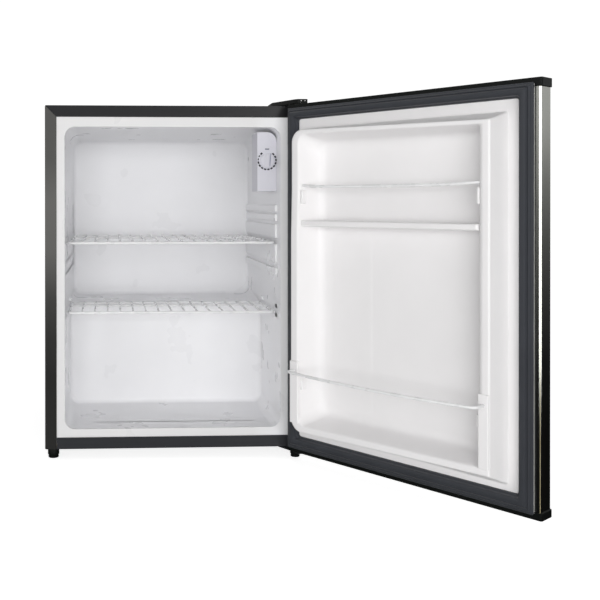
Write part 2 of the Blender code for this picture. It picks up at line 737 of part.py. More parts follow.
def build_thermostat():
    low = (HOUSING_X[0], HOUSING_Y[0], HOUSING_Z[0])
    high = (HOUSING_X[1], HOUSING_Y[1], HOUSING_Z[1])

    def corner(edge):
        mid = (edge.verts[0].co + edge.verts[1].co) / 2
        return along(1)(edge) and mid.z > DIAL_Z and mid.x > DIAL_X

    housing = box("thermostat_housing", low, high, WHITE_PLASTIC, 17 * MM, 4, corner)
    t = HOUSING_T
    hollow = box(
        "housing_hollow",
        (low[0] + t, low[1] + t, low[2] + t),
        (high[0] + t, high[1] - t, high[2] - t - 6 * MM),
    )
    boolean(housing, hollow)
    shaft_hole = cylinder("housing_hole", 5 * MM, 0, 60 * MM, (DIAL_X, 0, DIAL_Z), axis=1)
    boolean(housing, shaft_hole)
    body_y = low[1] + t + 4 * MM
    body = box(
        "thermostat_body",
        (DIAL_X - 13 * MM, body_y, DIAL_Z - 24 * MM),
        (DIAL_X + 13 * MM, body_y + 34 * MM, DIAL_Z + 22 * MM),
        ZINC,
        1.5 * MM,
        1,
    )
    tip = KNOB_FRONT_Y + 2.4 * MM
    at = (DIAL_X, 0, DIAL_Z)
    shaft = cylinder("thermostat_shaft", SHAFT_R, tip, body_y + 5 * MM, at, axis=1, sides=12)
    boolean(body, shaft, "UNION")
    knob_bm = cylinder_bm(KNOB_R, KNOB_FRONT_Y, HOUSING_Y[0] - GAP, (0, 0, 0), axis=1, sides=32)
    for vert in knob_bm.verts:
        vert.co.y -= KNOB_FRONT_Y
    knob = add_mesh("thermostat_knob", knob_bm, WHITE_PLASTIC)
    knob.location = (DIAL_X, KNOB_FRONT_Y, DIAL_Z)
    bore = cylinder("knob_bore", SHAFT_R + GAP, tip - GAP, HOUSING_Y[0] + 1 * MM, at, axis=1, sides=12)
    boolean(knob, bore)


# Shelves -------------------------------------------------------------------


def build_shelf(name, z, back_y):
    """Coated wire shelf: a rod frame with a centre rod, and wires from front to back."""
    frame = [
        (-SHELF_HALF_W, SHELF_FRONT_Y, z),
        (SHELF_HALF_W, SHELF_FRONT_Y, z),
        (SHELF_HALF_W, back_y, z),
        (-SHELF_HALF_W, back_y, z),
    ]
    curve = poly_curve(name, rounded_loop(frame, 8 * MM, 2), cyclic=True)
    curve.dimensions = "3D"
    curve.bevel_depth = SHELF_ROD_R
    curve.bevel_resolution = 2
    shelf = curve_mesh(name, curve, WHITE_COATING)
    middle_y = SHELF_FRONT_Y + 0.7 * (back_y - SHELF_FRONT_Y)
    half = SHELF_HALF_W + WELD_IN
    middle = cylinder(name + "_middle", MIDDLE_ROD_R, -half, half, (0, middle_y, z), axis=0, sides=8)
    boolean(shelf, middle, "UNION")
    wires = []
    count = int(2 * SHELF_HALF_W / SHELF_PITCH)
    top = z + SHELF_ROD_R + WIRE_LIFT
    for i in range(1, count):
        x = -SHELF_HALF_W + 2 * SHELF_HALF_W * i / count
        wires.append(
            cylinder_bm(
                SHELF_WIRE_R, SHELF_FRONT_Y - WELD_IN, back_y + WELD_IN, (x, 0, top), axis=1, sides=8
            )
        )
    return boolean(shelf, merge(name + "_wires", wires), "UNION")


def rounded_loop(corners, radius, steps):
    """A closed path with each corner replaced by an arc."""
    looped = [corners[-1], *corners, corners[0]]
    return fillet_path(looped, radius, steps)[1:-1]


# Door ----------------------------------------------------------------------


def front_corner(edge):
    """Picks the upright edges at the outer face of the door."""
    return along(2)(edge) and edge.verts[0].co.y < DOOR_BACK_Y - 10 * MM


def build_door_panel():
    """Stainless pan: front face with both sides bent back and a short return lip."""
    x = PANEL_HALF_W
    front = DOOR_FRONT_Y + CAP_PROUD
    low, high = (-x, front, PANEL_Z[0]), (x, DOOR_BACK_Y, PANEL_Z[1])
    panel = box("door_panel", low, high, STAINLESS, PANEL_RADIUS, 3, front_corner)
    t = DOOR_SHEET
    inside = box(
        "panel_inside",
        (-x + t, front + t, PANEL_Z[0] - t),
        (x - t, DOOR_BACK_Y - t, PANEL_Z[1] + t),
        radius=PANEL_RADIUS - t,
        segments=3,
        edges=front_corner,
    )
    lip = 10 * MM
    mouth = box(
        "panel_mouth", (-x + lip, front + 2 * t, PANEL_Z[0] - t), (x - lip, DOOR_BACK_Y + t, PANEL_Z[1] + t)
    )
    boolean(panel, inside)
    boolean(panel, mouth)
    return panel


def build_door_cap(name, low_z, high_z, bush_from, bush_to):
    """Moulded end cap that closes the pan, with a bore for the hinge bush."""
    low, high = (-HALF_W, DOOR_FRONT_Y, low_z), (HALF_W, DOOR_BACK_Y, high_z)
    cap = box(name, low, high, BLACK_PLASTIC, 3 * MM, 2, along(2))
    hole = cylinder(name + "_bore", BUSH_R + GAP, bush_from, bush_to, (HINGE_X, HINGE_Y, 0), sides=16)
    return boolean(cap, hole)


def build_door_foam():
    """Foam core of the door, with room at both hinge corners for the bushes."""
    inset = DOOR_SHEET + GAP
    low = (-PANEL_HALF_W + inset, DOOR_FRONT_Y + CAP_PROUD + inset, PANEL_Z[0])
    high = (PANEL_HALF_W - inset, DOOR_BACK_Y - inset, PANEL_Z[1])
    foam = box("door_foam", low, high, FOAM, PANEL_RADIUS - DOOR_SHEET, 3, front_corner)
    tray = frustum_bm(
        (TRAY_FLOOR_Y - DOOR_LINER_T - GAP, TRAY_FLOOR_X + 3 * MM, grown(TRAY_FLOOR_Z, 3 * MM)),
        (RING_CREST_Y, TRAY_TOP_X + 3 * MM, grown(TRAY_TOP_Z, 3 * MM)),
        12 * MM,
        2,
    )
    boolean(foam, add_mesh("foam_tray", tray))
    for i, z in enumerate((PANEL_Z[0], PANEL_Z[1])):
        pocket = cylinder(
            f"foam_bush_pocket{i}", BUSH_R + 1 * MM, z - 12 * MM, z + 12 * MM, (HINGE_X, HINGE_Y, 0)
        )
        boolean(foam, pocket)
    return foam


def build_door_liner():
    """Vacuum-formed inner door: flange, raised ring, tray and the upper bin ledge."""
    t = DOOR_LINER_T
    ring = frustum_bm(
        (DOOR_FLANGE_Y - t, RING_BASE_X, RING_BASE_Z),
        (RING_CREST_Y, RING_CREST_X, RING_CREST_Z),
        RING_RADIUS,
        4,
    )
    liner = add_mesh("door_liner", ring, WHITE_PLASTIC)
    flange = box(
        "door_liner_flange",
        (-DOOR_FLANGE_X, DOOR_FLANGE_Y - t, DOOR_FLANGE_Z[0]),
        (DOOR_FLANGE_X, DOOR_FLANGE_Y, DOOR_FLANGE_Z[1]),
    )
    boolean(liner, flange, "UNION")
    below = DOOR_FLANGE_Y - t - 10 * MM
    hollow = add_mesh(
        "door_liner_hollow",
        frustum_bm(
            (below, RING_BASE_X - t, grown(RING_BASE_Z, -t)),
            (RING_CREST_Y - t, RING_CREST_X - t, grown(RING_CREST_Z, -t)),
            RING_RADIUS - t,
            4,
        ),
    )
    boolean(liner, hollow)
    tray_wall = add_mesh(
        "door_tray_wall",
        frustum_bm(
            (TRAY_FLOOR_Y - t, TRAY_FLOOR_X + t, grown(TRAY_FLOOR_Z, t)),
            (RING_CREST_Y - t / 2, TRAY_TOP_X + t, grown(TRAY_TOP_Z, t)),
            14 * MM + t,
            3,
        ),
    )
    boolean(liner, tray_wall, "UNION")
    tray = add_mesh(
        "door_tray",
        frustum_bm(
            (TRAY_FLOOR_Y, TRAY_FLOOR_X, TRAY_FLOOR_Z),
            (RING_CREST_Y + 0.01 * MM, TRAY_TOP_X, TRAY_TOP_Z),
            14 * MM,
            3,
        ),
    )
    boolean(liner, tray)
    ledge = frustum_bm(
        (TRAY_FLOOR_Y - t / 2, TRAY_FLOOR_X + t / 2, LEDGE_Z),
        (LEDGE_FRONT_Y, tray_half_width(LEDGE_FRONT_Y) + t / 2, grown(LEDGE_Z, -1 * MM)),
        1 * MM,
        1,
    )
    return boolean(liner, add_mesh("door_ledge", ledge), "UNION")


def build_gasket():
    """Magnetic door seal on the liner's flange."""
    front = DOOR_FLANGE_Y + GAP
    gasket = box(
        "door_gasket",
        (-GASKET_OUT_X, front, GASKET_OUT_Z[0]),
        (GASKET_OUT_X, GASKET_BACK_Y, GASKET_OUT_Z[1]),
        RUBBER,
    )
    mouth = box(
        "gasket_mouth",
        (-GASKET_IN_X, front - 1 * MM, GASKET_IN_Z[0]),
        (GASKET_IN_X, GASKET_BACK_Y + 1 * MM, GASKET_IN_Z[1]),
        radius=4 * MM,
        segments=2,
        edges=along(1),
    )
    return boolean(gasket, mouth)


def build_bin_rails():
    """Wire rails that hold bottles in the two door bins."""
    middle_y, end_y = 27 * MM, 23.5 * MM
    half = tray_half_width(end_y - RAIL_R) - 2 * GAP
    upper = []
    steps = 12
    for i in range(steps + 1):
        u = -1 + 2 * i / steps
        end = max(0.0, (abs(u) - 0.8) / 0.2)
        y = middle_y + (end_y - middle_y) * end**2
        upper.append((u * half, y, UPPER_RAIL_Z + 3 * MM * u**4))
    tube("upper_bin_rail", upper, RAIL_R, WHITE_COATING)
    leg_x = (TRAY_TOP_X + RING_CREST_X) / 2
    foot_y = RING_CREST_Y + GAP
    corners = [
        (-leg_x, foot_y, LOWER_RAIL_Z),
        (-leg_x, 54 * MM, LOWER_RAIL_Z),
        (0, 66 * MM, LOWER_RAIL_Z),
        (leg_x, 54 * MM, LOWER_RAIL_Z),
        (leg_x, foot_y, LOWER_RAIL_Z),
    ]
    tube("lower_bin_rail", fillet_path(corners, 12 * MM, 4), RAIL_R, WHITE_COATING)


def tray_half_width(y):
    """Half width of the tray at a depth y, between its floor and the crest."""
    share = (y - TRAY_FLOOR_Y) / (RING_CREST_Y - TRAY_FLOOR_Y)
    return TRAY_FLOOR_X + share * (TRAY_TOP_X - TRAY_FLOOR_X)


def build_bush(name, low_z, high_z):
    """Plastic bush in an end cap, which turns on the fixed hinge pin."""
    bush = cylinder(name, BUSH_R, low_z, high_z, (HINGE_X, HINGE_Y, 0), GREY_PLASTIC, sides=16)
    bore = cylinder(
        name + "_bore", PIN_R + PIN_PLAY, low_z - 1 * MM, high_z + 1 * MM, (HINGE_X, HINGE_Y, 0), sides=16
    )
    return boolean(bush, bore)


def build_door():
    before = set(FRIDGE.objects) | set(CUTTERS.objects)
    build_door_panel()
    build_door_cap("door_top_cap", DOOR_Z[1] - TOP_CAP_H, DOOR_Z[1], DOOR_Z[1] - 30 * MM, DOOR_Z[1] + 1 * MM)
    build_door_cap(
        "door_bottom_cap", DOOR_Z[0], DOOR_Z[0] + BOTTOM_CAP_H, DOOR_Z[0] - 1 * MM, DOOR_Z[0] + 30 * MM
    )
    build_door_foam()
    build_door_liner()
    build_gasket()
    build_bin_rails()
    build_bush("upper_hinge_bush", DOOR_Z[1] - TOP_CAP_H, DOOR_Z[1])
    build_bush("lower_hinge_bush", DOOR_Z[0], DOOR_Z[0] + BOTTOM_CAP_H)
    axis = bpy.data.objects.new("door_axis", None)
    axis.location = (HINGE_X, HINGE_Y, 0)
    FRIDGE.objects.link(axis)
    bpy.context.view_layer.update()
    for thing in (set(FRIDGE.objects) | set(CUTTERS.objects)) - before - {axis}:
        thing.parent = axis
        thing.matrix_parent_inverse = axis.matrix_world.inverted()
    axis.rotation_euler.z = math.radians(DOOR_OPEN_DEG)


# Hinges --------------------------------------------------------------------


def inset_outline(outline, by):
    """Moves every side of an anticlockwise outline inwards by a distance in millimetres."""
    made = []
    for before, corner, after in zip([outline[-1], *outline], outline, [*outline[1:], outline[0]]):
        run = (Vector(corner) - Vector(before)).normalized()
        turn = (Vector(after) - Vector(corner)).normalized()
        first, second = Vector((-run.y, run.x)), Vector((-turn.y, turn.x))
        made.append(Vector(corner) + by * (first + second) / (1 + first.dot(second)))
    return [(point.x, point.y) for point in made]


def build_screws(prefix, places, head_low, head_high, paint):
    for i, (x, y) in enumerate(places, 1):
        cylinder(f"{prefix}_{i}", SCREW_R, head_low, head_high, (x * MM, y * MM, 0), paint, sides=12)


def build_top_hinge():
    """Steel plate on the cabinet top, its pin, two screws and the plastic cover."""
    low = TOP_Z + GAP
    high = low + HINGE_PLATE_T
    inner = inset_outline(TOP_HINGE_OUTLINE, COVER_WALL / MM)
    plate("top_hinge_bracket", inset_outline(inner, GAP / MM), low, high, ZINC)
    cylinder(
        "top_hinge_pin", PIN_R, DOOR_Z[1] - TOP_CAP_H + 1 * MM, low - GAP, (HINGE_X, HINGE_Y, 0), CHROME
    )
    build_screws("top_hinge_screw", TOP_HINGE_SCREWS, high + GAP, high + GAP + SCREW_H, CHROME)
    cover = plate("top_hinge_cover", TOP_HINGE_OUTLINE, low, COVER_TOP_Z, BLACK_PLASTIC)
    boolean(cover, plate("cover_pocket", inner, low - 1 * MM, COVER_TOP_Z - COVER_WALL))


def build_bottom_hinge():
    """Steel plate under the cabinet with the lower pin; the right foot screws into it."""
    high = FOOT_H - GAP
    low = high - HINGE_PLATE_T
    bracket = plate("bottom_hinge_bracket", LOW_HINGE_OUTLINE, low, high, BLACK_STEEL)
    x, y, _ = RIGHT_FOOT
    boolean(bracket, cylinder("bracket_foot_hole", STUD_R + GAP, 0, 2 * FOOT_H, (x, y, 0), sides=12))
    top = DOOR_Z[0] + BOTTOM_CAP_H - 1 * MM
    cylinder("bottom_hinge_pin", PIN_R, high + GAP, top, (HINGE_X, HINGE_Y, 0), CHROME)
    build_screws("bottom_hinge_screw", LOW_HINGE_SCREWS, low - GAP - SCREW_H, low - GAP, CHROME)


def build_all():
    build_outer_shell()
    build_front_rail()
    build_inner_liner()
    build_foam()
    build_evaporator()
    build_condenser(-1, "condenser_left")
    build_condenser(1, "condenser_right")
    build_base_plate()
    build_back_panel()
    build_compressor_base()
    build_compressor()
    build_compressor_mounts()
    build_relay_box()
    build_drip_tray()
    build_refrigerant_lines()
    build_feet()
    build_thermostat()
    build_shelf("upper_shelf", UPPER_SHELF_Z, UPPER_SHELF_BACK_Y)
    build_shelf("lower_shelf", LOWER_SHELF_Z, LOWER_SHELF_BACK_Y)
    build_door()
    build_top_hinge()
    build_bottom_hinge()


clear_scene()
FRIDGE = new_collection("mini_fridge")
CUTTERS = new_collection("cutters")
BLACK_STEEL = finish("black_steel", (0.03, 0.03, 0.032), 0.35, 0.0)
STAINLESS = finish("stainless", (0.42, 0.43, 0.42), 0.32, 1.0)
WHITE_PLASTIC = finish("white_plastic", (0.82, 0.82, 0.83), 0.35, 0.0)
WHITE_COATING = finish("white_coating", (0.85, 0.85, 0.84), 0.3, 0.0)
BLACK_PLASTIC = finish("black_plastic", (0.02, 0.02, 0.022), 0.4, 0.0)
GREY_PLASTIC = finish("grey_plastic", (0.3, 0.3, 0.3), 0.5, 0.0)
RUBBER = finish("rubber", (0.045, 0.048, 0.055), 0.6, 0.0)
FOAM = finish("foam", (0.75, 0.68, 0.45), 0.9, 0.0)
ZINC = finish("zinc", (0.55, 0.56, 0.57), 0.45, 0.8)
CHROME = finish("chrome", (0.8, 0.8, 0.8), 0.15, 1.0)
COPPER = finish("copper", (0.6, 0.3, 0.18), 0.35, 1.0)
ALUMINIUM = finish("aluminium", (0.7, 0.71, 0.72), 0.4, 0.9)
build_all()
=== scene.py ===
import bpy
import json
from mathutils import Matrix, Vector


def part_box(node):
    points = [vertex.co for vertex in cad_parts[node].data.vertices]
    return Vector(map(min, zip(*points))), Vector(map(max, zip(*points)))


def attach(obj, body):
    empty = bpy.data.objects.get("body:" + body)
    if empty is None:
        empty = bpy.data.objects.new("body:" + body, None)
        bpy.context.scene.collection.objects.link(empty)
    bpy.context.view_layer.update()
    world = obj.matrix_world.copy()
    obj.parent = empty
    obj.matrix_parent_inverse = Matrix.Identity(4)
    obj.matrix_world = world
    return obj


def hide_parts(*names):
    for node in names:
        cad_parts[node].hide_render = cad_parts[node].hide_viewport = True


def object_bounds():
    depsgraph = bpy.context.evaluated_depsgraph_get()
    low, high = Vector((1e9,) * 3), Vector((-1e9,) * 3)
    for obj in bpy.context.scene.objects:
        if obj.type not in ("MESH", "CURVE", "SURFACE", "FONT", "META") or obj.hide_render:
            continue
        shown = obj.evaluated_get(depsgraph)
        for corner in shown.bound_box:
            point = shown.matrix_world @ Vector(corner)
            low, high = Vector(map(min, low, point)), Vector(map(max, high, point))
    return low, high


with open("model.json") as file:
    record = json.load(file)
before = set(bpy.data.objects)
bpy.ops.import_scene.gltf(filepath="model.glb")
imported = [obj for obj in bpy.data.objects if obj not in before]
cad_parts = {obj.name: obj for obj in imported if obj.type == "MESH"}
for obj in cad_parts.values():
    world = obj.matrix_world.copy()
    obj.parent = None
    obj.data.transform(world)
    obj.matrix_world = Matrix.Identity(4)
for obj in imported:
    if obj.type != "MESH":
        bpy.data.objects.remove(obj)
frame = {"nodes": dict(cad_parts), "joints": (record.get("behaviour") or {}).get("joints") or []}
CAD_BOX = [list(corner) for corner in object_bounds()]

# Looks of the compact refrigerator: fine meshes and materials around the packed
# CAD model. Metres, +Z up, the front faces -Y. Door pieces are drawn as they lie
# with the door shut and then swung open to where the CAD model has them.

import json
import math

import bmesh
import bpy
from mathutils import Matrix, Vector

MM = 0.001
SCENE = bpy.context.scene
NODES = frame["nodes"]
JOINTS = {joint["name"]: joint for joint in frame["joints"]}

HINGE = JOINTS["door_hinge"]["pos_m"]
OPEN_ANGLE = -math.radians(JOINTS["door_hinge"]["range_deg"][0])
SWING = (
    Matrix.Translation((HINGE[0], HINGE[1], 0))
    @ Matrix.Rotation(OPEN_ANGLE, 4, "Z")
    @ Matrix.Translation((-HINGE[0], -HINGE[1], 0))
)


def shut_box(node):
    """Lowest and highest corner of a door node, measured with the door shut."""
    back = SWING.inverted()
    points = [back @ vert.co for vert in NODES[node].data.vertices]
    low = Vector([min(p[i] for p in points) for i in range(3)])
    high = Vector([max(p[i] for p in points) for i in range(3)])
    return low, high


# Places that everything else is worked out from ------------------------------

SHELL_LOW, SHELL_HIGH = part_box("outer_shell")
LINER_LOW, LINER_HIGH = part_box("inner_liner")
PANEL_LOW, PANEL_HIGH = shut_box("door_panel")
DOOR_LINER_HIGH = shut_box("door_liner")[1]
SEAL_LOW, SEAL_HIGH = shut_box("door_gasket")
HOUSING_LOW, HOUSING_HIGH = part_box("thermostat_housing")
KNOB_LOW, KNOB_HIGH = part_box("thermostat_knob")

SHEET = 1.0 * MM
FLANGE = 20 * MM
LINER_T = 2.0 * MM
CAVITY_HALF_W = 188.5 * MM
CAVITY_FLOOR_Z = 52 * MM
CAVITY_CEILING_Z = 577 * MM
UPPER_DEPTH = 370 * MM
LOWER_DEPTH = 200 * MM
HUMP_Z = 248 * MM
TIGHTER_BY = 10 * MM
MOUTH_DEPTH = 60 * MM


# Mesh tools --------------------------------------------------------------------


def to_object(name, bm, angle=35):
    """Makes a smooth-shaded object from a bmesh, sharp where it turns by more than angle."""
    mesh = bpy.data.meshes.new(name)
    bm.to_mesh(mesh)
    bm.free()
    thing = bpy.data.objects.new(name, mesh)
    SCENE.collection.objects.link(thing)
    shade(thing, angle)
    return thing


def shade(thing, angle=35):
    thing.data.shade_smooth()
    thing.data.set_sharp_from_angle(angle=math.radians(angle))


def block(low, high, radius=0.0, segments=3, edges=None):
    """A cube between two corners; edges picks the ones to round, all by default."""
    bm = bmesh.new()
    bmesh.ops.create_cube(bm, size=1.0)
    low, high = Vector(low), Vector(high)
    bmesh.ops.scale(bm, vec=high - low, verts=bm.verts)
    bmesh.ops.translate(bm, vec=(low + high) / 2, verts=bm.verts)
    if radius:
        round_edges(bm, radius, segments, edges)
    return bm


def round_edges(bm, radius, segments, edges=None):
    chosen = [e for e in bm.edges if edges is None or edges(e)]
    bmesh.ops.bevel(bm, geom=chosen, offset=radius, segments=segments, profile=0.5, affect="EDGES")


def runs_along(axis):
    """Picks the edges that run mostly along one axis."""

    def test(edge):
        run = edge.verts[1].co - edge.verts[0].co
        return abs(run[axis]) > 0.8 * run.length

    return test


def turned(profile, steps, axis=2, at=(0, 0, 0)):
    """Turns a half outline of (radius, height) pairs about an axis."""
    bm = bmesh.new()
    rings = []
    for radius, height in profile:
        if radius < 1e-6:
            rings.append([bm.verts.new((0, 0, height))])
            continue
        ring = []
        for i in range(steps):
            angle = 2 * math.pi * i / steps
            ring.append(bm.verts.new((radius * math.cos(angle), radius * math.sin(angle), height)))
        rings.append(ring)
    for low, high in zip(rings, rings[1:]):
        for i in range(steps):
            j = (i + 1) % steps
            if len(low) == 1:
                bm.faces.new((low[0], high[j], high[i]))
            elif len(high) == 1:
                bm.faces.new((low[i], low[j], high[0]))
            else:
                bm.faces.new((low[i], low[j], high[j], high[i]))
    turn = {0: Matrix.Rotation(math.pi / 2, 4, "Y"), 1: Matrix.Rotation(-math.pi / 2, 4, "X"), 2: Matrix()}
    bmesh.ops.transform(bm, matrix=turn[axis], verts=bm.verts)
    bmesh.ops.translate(bm, vec=at, verts=bm.verts)
    bmesh.ops.recalc_face_normals(bm, faces=bm.faces)
    return bm


def disc(radius, low, high, at, axis=2, edge=0.4 * MM, steps=32):
    """A short round piece with softened rims, from low to high along an axis."""
    arc = [(math.sin(a * math.pi / 6), 1 - math.cos(a * math.pi / 6)) for a in range(4)]
    bottom = [(radius - edge + edge * s, low + edge * (1 - math.sqrt(1 - s * s))) for s, _ in arc]
    top = [(r, high - (h - low)) for r, h in reversed(bottom)]
    return turned([(0, low), *bottom, *top, (0, high)], steps, axis, at)


def pulled(points, way):
    """A solid made by pulling one face, a list of 3-D points, along a vector."""
    bm = bmesh.new()
    face = bm.faces.new([bm.verts.new(point) for point in points])
    moved = bmesh.ops.extrude_face_region(bm, geom=[face])["geom"]
    corners = [item for item in moved if isinstance(item, bmesh.types.BMVert)]
    bmesh.ops.translate(bm, vec=way, verts=corners)
    bmesh.ops.recalc_face_normals(bm, faces=bm.faces)
    return bm


def outline_plate(points, low, high):
    """A flat outline of (x, y) points between two heights."""
    return pulled([(x, y, low) for x, y in points], (0, 0, high - low))


def placed(bm, at, angle, axis="Y"):
    """Turns a bmesh about an axis through the origin, then moves it."""
    bmesh.ops.rotate(bm, cent=(0, 0, 0), matrix=Matrix.Rotation(angle, 3, axis), verts=bm.verts)
    bmesh.ops.translate(bm, vec=at, verts=bm.verts)
    return bm


def joined(parts):
    """Gathers several bmeshes in one."""
    whole = bmesh.new()
    for bm in parts:
        mesh = bpy.data.meshes.new("part")
        bm.to_mesh(mesh)
        bm.free()
        whole.from_mesh(mesh)
        bpy.data.meshes.remove(mesh)
    return whole


def settle(thing):
    """Applies the modifiers and leaves a plain mesh."""
    graph = bpy.context.evaluated_depsgraph_get()
    mesh = bpy.data.meshes.new_from_object(thing.evaluated_get(graph))
    thing.modifiers.clear()
    old = thing.data
    thing.data = mesh
    bpy.data.meshes.remove(old)
    shade(thing)
    return thing


def combine(thing, bm, operation="DIFFERENCE"):
    """Cuts, joins or intersects an object with a bmesh and applies the result."""
    other = to_object(thing.name + "_tool", bm)
    step = thing.modifiers.new("combine", "BOOLEAN")
    step.operation = operation
    step.solver = "EXACT"
    step.object = other
    settle(thing)
    mesh = other.data
    bpy.data.objects.remove(other)
    bpy.data.meshes.remove(mesh)
    return thing


def soften(thing, width, segments=2, limit=40):
    """Rounds the sharp edges of an object."""
    step = thing.modifiers.new("soften", "BEVEL")
    step.width = width
    step.segments = segments
    step.limit_method = "ANGLE"
    step.angle_limit = math.radians(limit)
    step.harden_normals = False
    return thing


def even_normals(thing):
    """Lets flat faces keep their own normal beside small roundings."""
    step = thing.modifiers.new("even_normals", "WEIGHTED_NORMAL")
    step.mode = "FACE_AREA"
    step.weight = 50
    step.keep_sharp = True
    return thing


def rounded_rect(left, right, low, high, radius, counts=(10, 8, 12)):
    """Points (x, z) round a rectangle, always in the same number and order.

    low, high and radius are either one number or a pair for the left and right side;
    counts are the steps of each corner, of the top and bottom and of the sides.
    """
    pairs = [value if isinstance(value, tuple) else (value, value) for value in (low, high, radius)]
    (low_l, low_r), (high_l, high_r), (left_r, right_r) = pairs
    corner, side_x, side_z = counts
    centres = (
        (right - right_r, high_r - right_r, right_r, 0),
        (left + left_r, high_l - left_r, left_r, 90),
        (left + left_r, low_l + left_r, left_r, 180),
        (right - right_r, low_r + right_r, right_r, 270),
    )
    arcs = []
    for x, z, r, start in centres:
        angles = [math.radians(start + 90 * i / corner) for i in range(corner + 1)]
        arcs.append([(x + r * math.cos(a), z + r * math.sin(a)) for a in angles])
    points = []
    for number, arc in enumerate(arcs):
        points += arc
        (x0, z0), (x1, z1) = arc[-1], arcs[(number + 1) % 4][0]
        count = side_x if number % 2 == 0 else side_z
        points += [(x0 + (x1 - x0) * i / count, z0 + (z1 - z0) * i / count) for i in range(1, count)]
    return points


def loft(sections, close_start=False, close_end=False):
    """Skins sections, each a list of 3-D points round the same path."""
    bm = bmesh.new()
    rows = [[bm.verts.new(p) for p in section] for section in sections]
    count = len(rows[0])
    for low, high in zip(rows, rows[1:]):
        for i in range(count):
            j = (i + 1) % count
            bm.faces.new((low[i], low[j], high[j], high[i]))
    if close_start:
        bm.faces.new(rows[0])
    if close_end:
        bm.faces.new(list(reversed(rows[-1])))
    bmesh.ops.recalc_face_normals(bm, faces=bm.faces)
    return bm


def wire(points, radius, cyclic=False, sides=4):
    """A round wire along points, as a bmesh with its ends closed."""
    curve = bpy.data.curves.new("wire", "CURVE")
    curve.dimensions = "3D"
    curve.bevel_depth = radius
    curve.bevel_resolution = sides
    curve.use_fill_caps = not cyclic
    spline = curve.splines.new("POLY")
    spline.points.add(len(points) - 1)
    for point, co in zip(spline.points, points):
        point.co = (*co, 1.0)
    spline.use_cyclic_u = cyclic
    source = bpy.data.objects.new("wire", curve)
    SCENE.collection.objects.link(source)
    graph = bpy.context.evaluated_depsgraph_get()
    mesh = bpy.data.meshes.new_from_object(source.evaluated_get(graph))
    bpy.data.objects.remove(source)
    bm = bmesh.new()
    bm.from_mesh(mesh)
    bpy.data.meshes.remove(mesh)
    bmesh.ops.remove_doubles(bm, verts=bm.verts, dist=1e-6)
    return bm


def fillet_path(corners, radius, steps=6):
    """Replaces each inner corner of a path by a smooth curve."""
    path = [Vector(corners[0])]
    for before, corner, after in zip(corners, corners[1:], corners[2:]):
        before, corner, after = Vector(before), Vector(corner), Vector(after)
        start = corner + (before - corner).normalized() * radius
        end = corner + (after - corner).normalized() * radius
        for i in range(steps + 1):
            t = i / steps
            path.append((1 - t) ** 2 * start + 2 * t * (1 - t) * corner + t * t * end)
    path.append(Vector(corners[-1]))
    return path


def smoothstep(low, high, value):
    t = min(1.0, max(0.0, (value - low) / (high - low)))
    return t * t * (3 - 2 * t)


# Materials ---------------------------------------------------------------------


class Surface:
    """A node material: a Principled shader with its colour, roughness and bump fed by procedural nodes."""

    def __init__(self, name, rgb, roughness, metallic=0.0, specular=0.5):
        self.material = bpy.data.materials.new(name)
        self.material.use_nodes = True
        self.nodes = self.material.node_tree.nodes
        self.links = self.material.node_tree.links
        self.shader = self.nodes["Principled BSDF"]
        self.set("Base Color", (*rgb, 1.0))
        self.set("Roughness", roughness)
        self.set("Metallic", metallic)
        self.set("Specular IOR Level", specular)
        self.place = self.nodes.new("ShaderNodeTexCoord")
        self.normal = None

    def set(self, socket, value):
        self.shader.inputs[socket].default_value = value

    def noise(self, scale, detail=3.0, stretch=(1, 1, 1), rough=0.5):
        mapping = self.nodes.new("ShaderNodeMapping")
        mapping.inputs["Scale"].default_value = stretch
        self.links.new(self.place.outputs["Object"], mapping.inputs["Vector"])
        noise = self.nodes.new("ShaderNodeTexNoise")
        noise.inputs["Scale"].default_value = scale
        noise.inputs["Detail"].default_value = detail
        noise.inputs["Roughness"].default_value = rough
        self.links.new(mapping.outputs["Vector"], noise.inputs["Vector"])
        return noise.outputs["Fac"]

    def between(self, source, low, high):
        """Stretches the middle of a noise's range, 0.3 to 0.7, to low..high."""
        spread = self.nodes.new("ShaderNodeMapRange")
        spread.inputs["From Min"].default_value = 0.3
        spread.inputs["From Max"].default_value = 0.7
        spread.inputs["To Min"].default_value = low
        spread.inputs["To Max"].default_value = high
        self.links.new(source, spread.inputs["Value"])
        return spread.outputs["Result"]

    def rough(self, source, low, high):
        self.links.new(self.between(source, low, high), self.shader.inputs["Roughness"])

    def bump(self, source, height, strength=1.0):
        bump = self.nodes.new("ShaderNodeBump")
        bump.inputs["Strength"].default_value = strength
        bump.inputs["Distance"].default_value = height
        self.links.new(source, bump.inputs["Height"])
        if self.normal is not None:
            self.links.new(self.normal, bump.inputs["Normal"])
        self.normal = bump.outputs["Normal"]
        self.links.new(self.normal, self.shader.inputs["Normal"])

    def tint(self, source, low, high):
        """Colours from low to high as a value goes from 0 to 1."""
        ramp = self.nodes.new("ShaderNodeValToRGB")
        ramp.color_ramp.elements[0].color = (*low, 1)
        ramp.color_ramp.elements[1].color = (*high, 1)
        self.links.new(self.between(source, 0, 1), ramp.inputs["Fac"])
        self.links.new(ramp.outputs["Color"], self.shader.inputs["Base Color"])
        return ramp

    def along(self, axis):
        """The place on the object along one axis, in metres."""
        split = self.nodes.new("ShaderNodeSeparateXYZ")
        self.links.new(self.place.outputs["Object"], split.inputs["Vector"])
        return split.outputs[axis]


def set_steps(ramp, steps):
    """Fills a colour ramp with (position, colour) steps."""
    points = ramp.color_ramp.elements
    while len(points) > 1:
        points.remove(points[-1])
    points[0].position, points[0].color = steps[0][0], (*steps[0][1], 1)
    for position, rgb in steps[1:]:
        points.new(position).color = (*rgb, 1)


def shaded(rgb, factor):
    return tuple(c * factor for c in rgb)


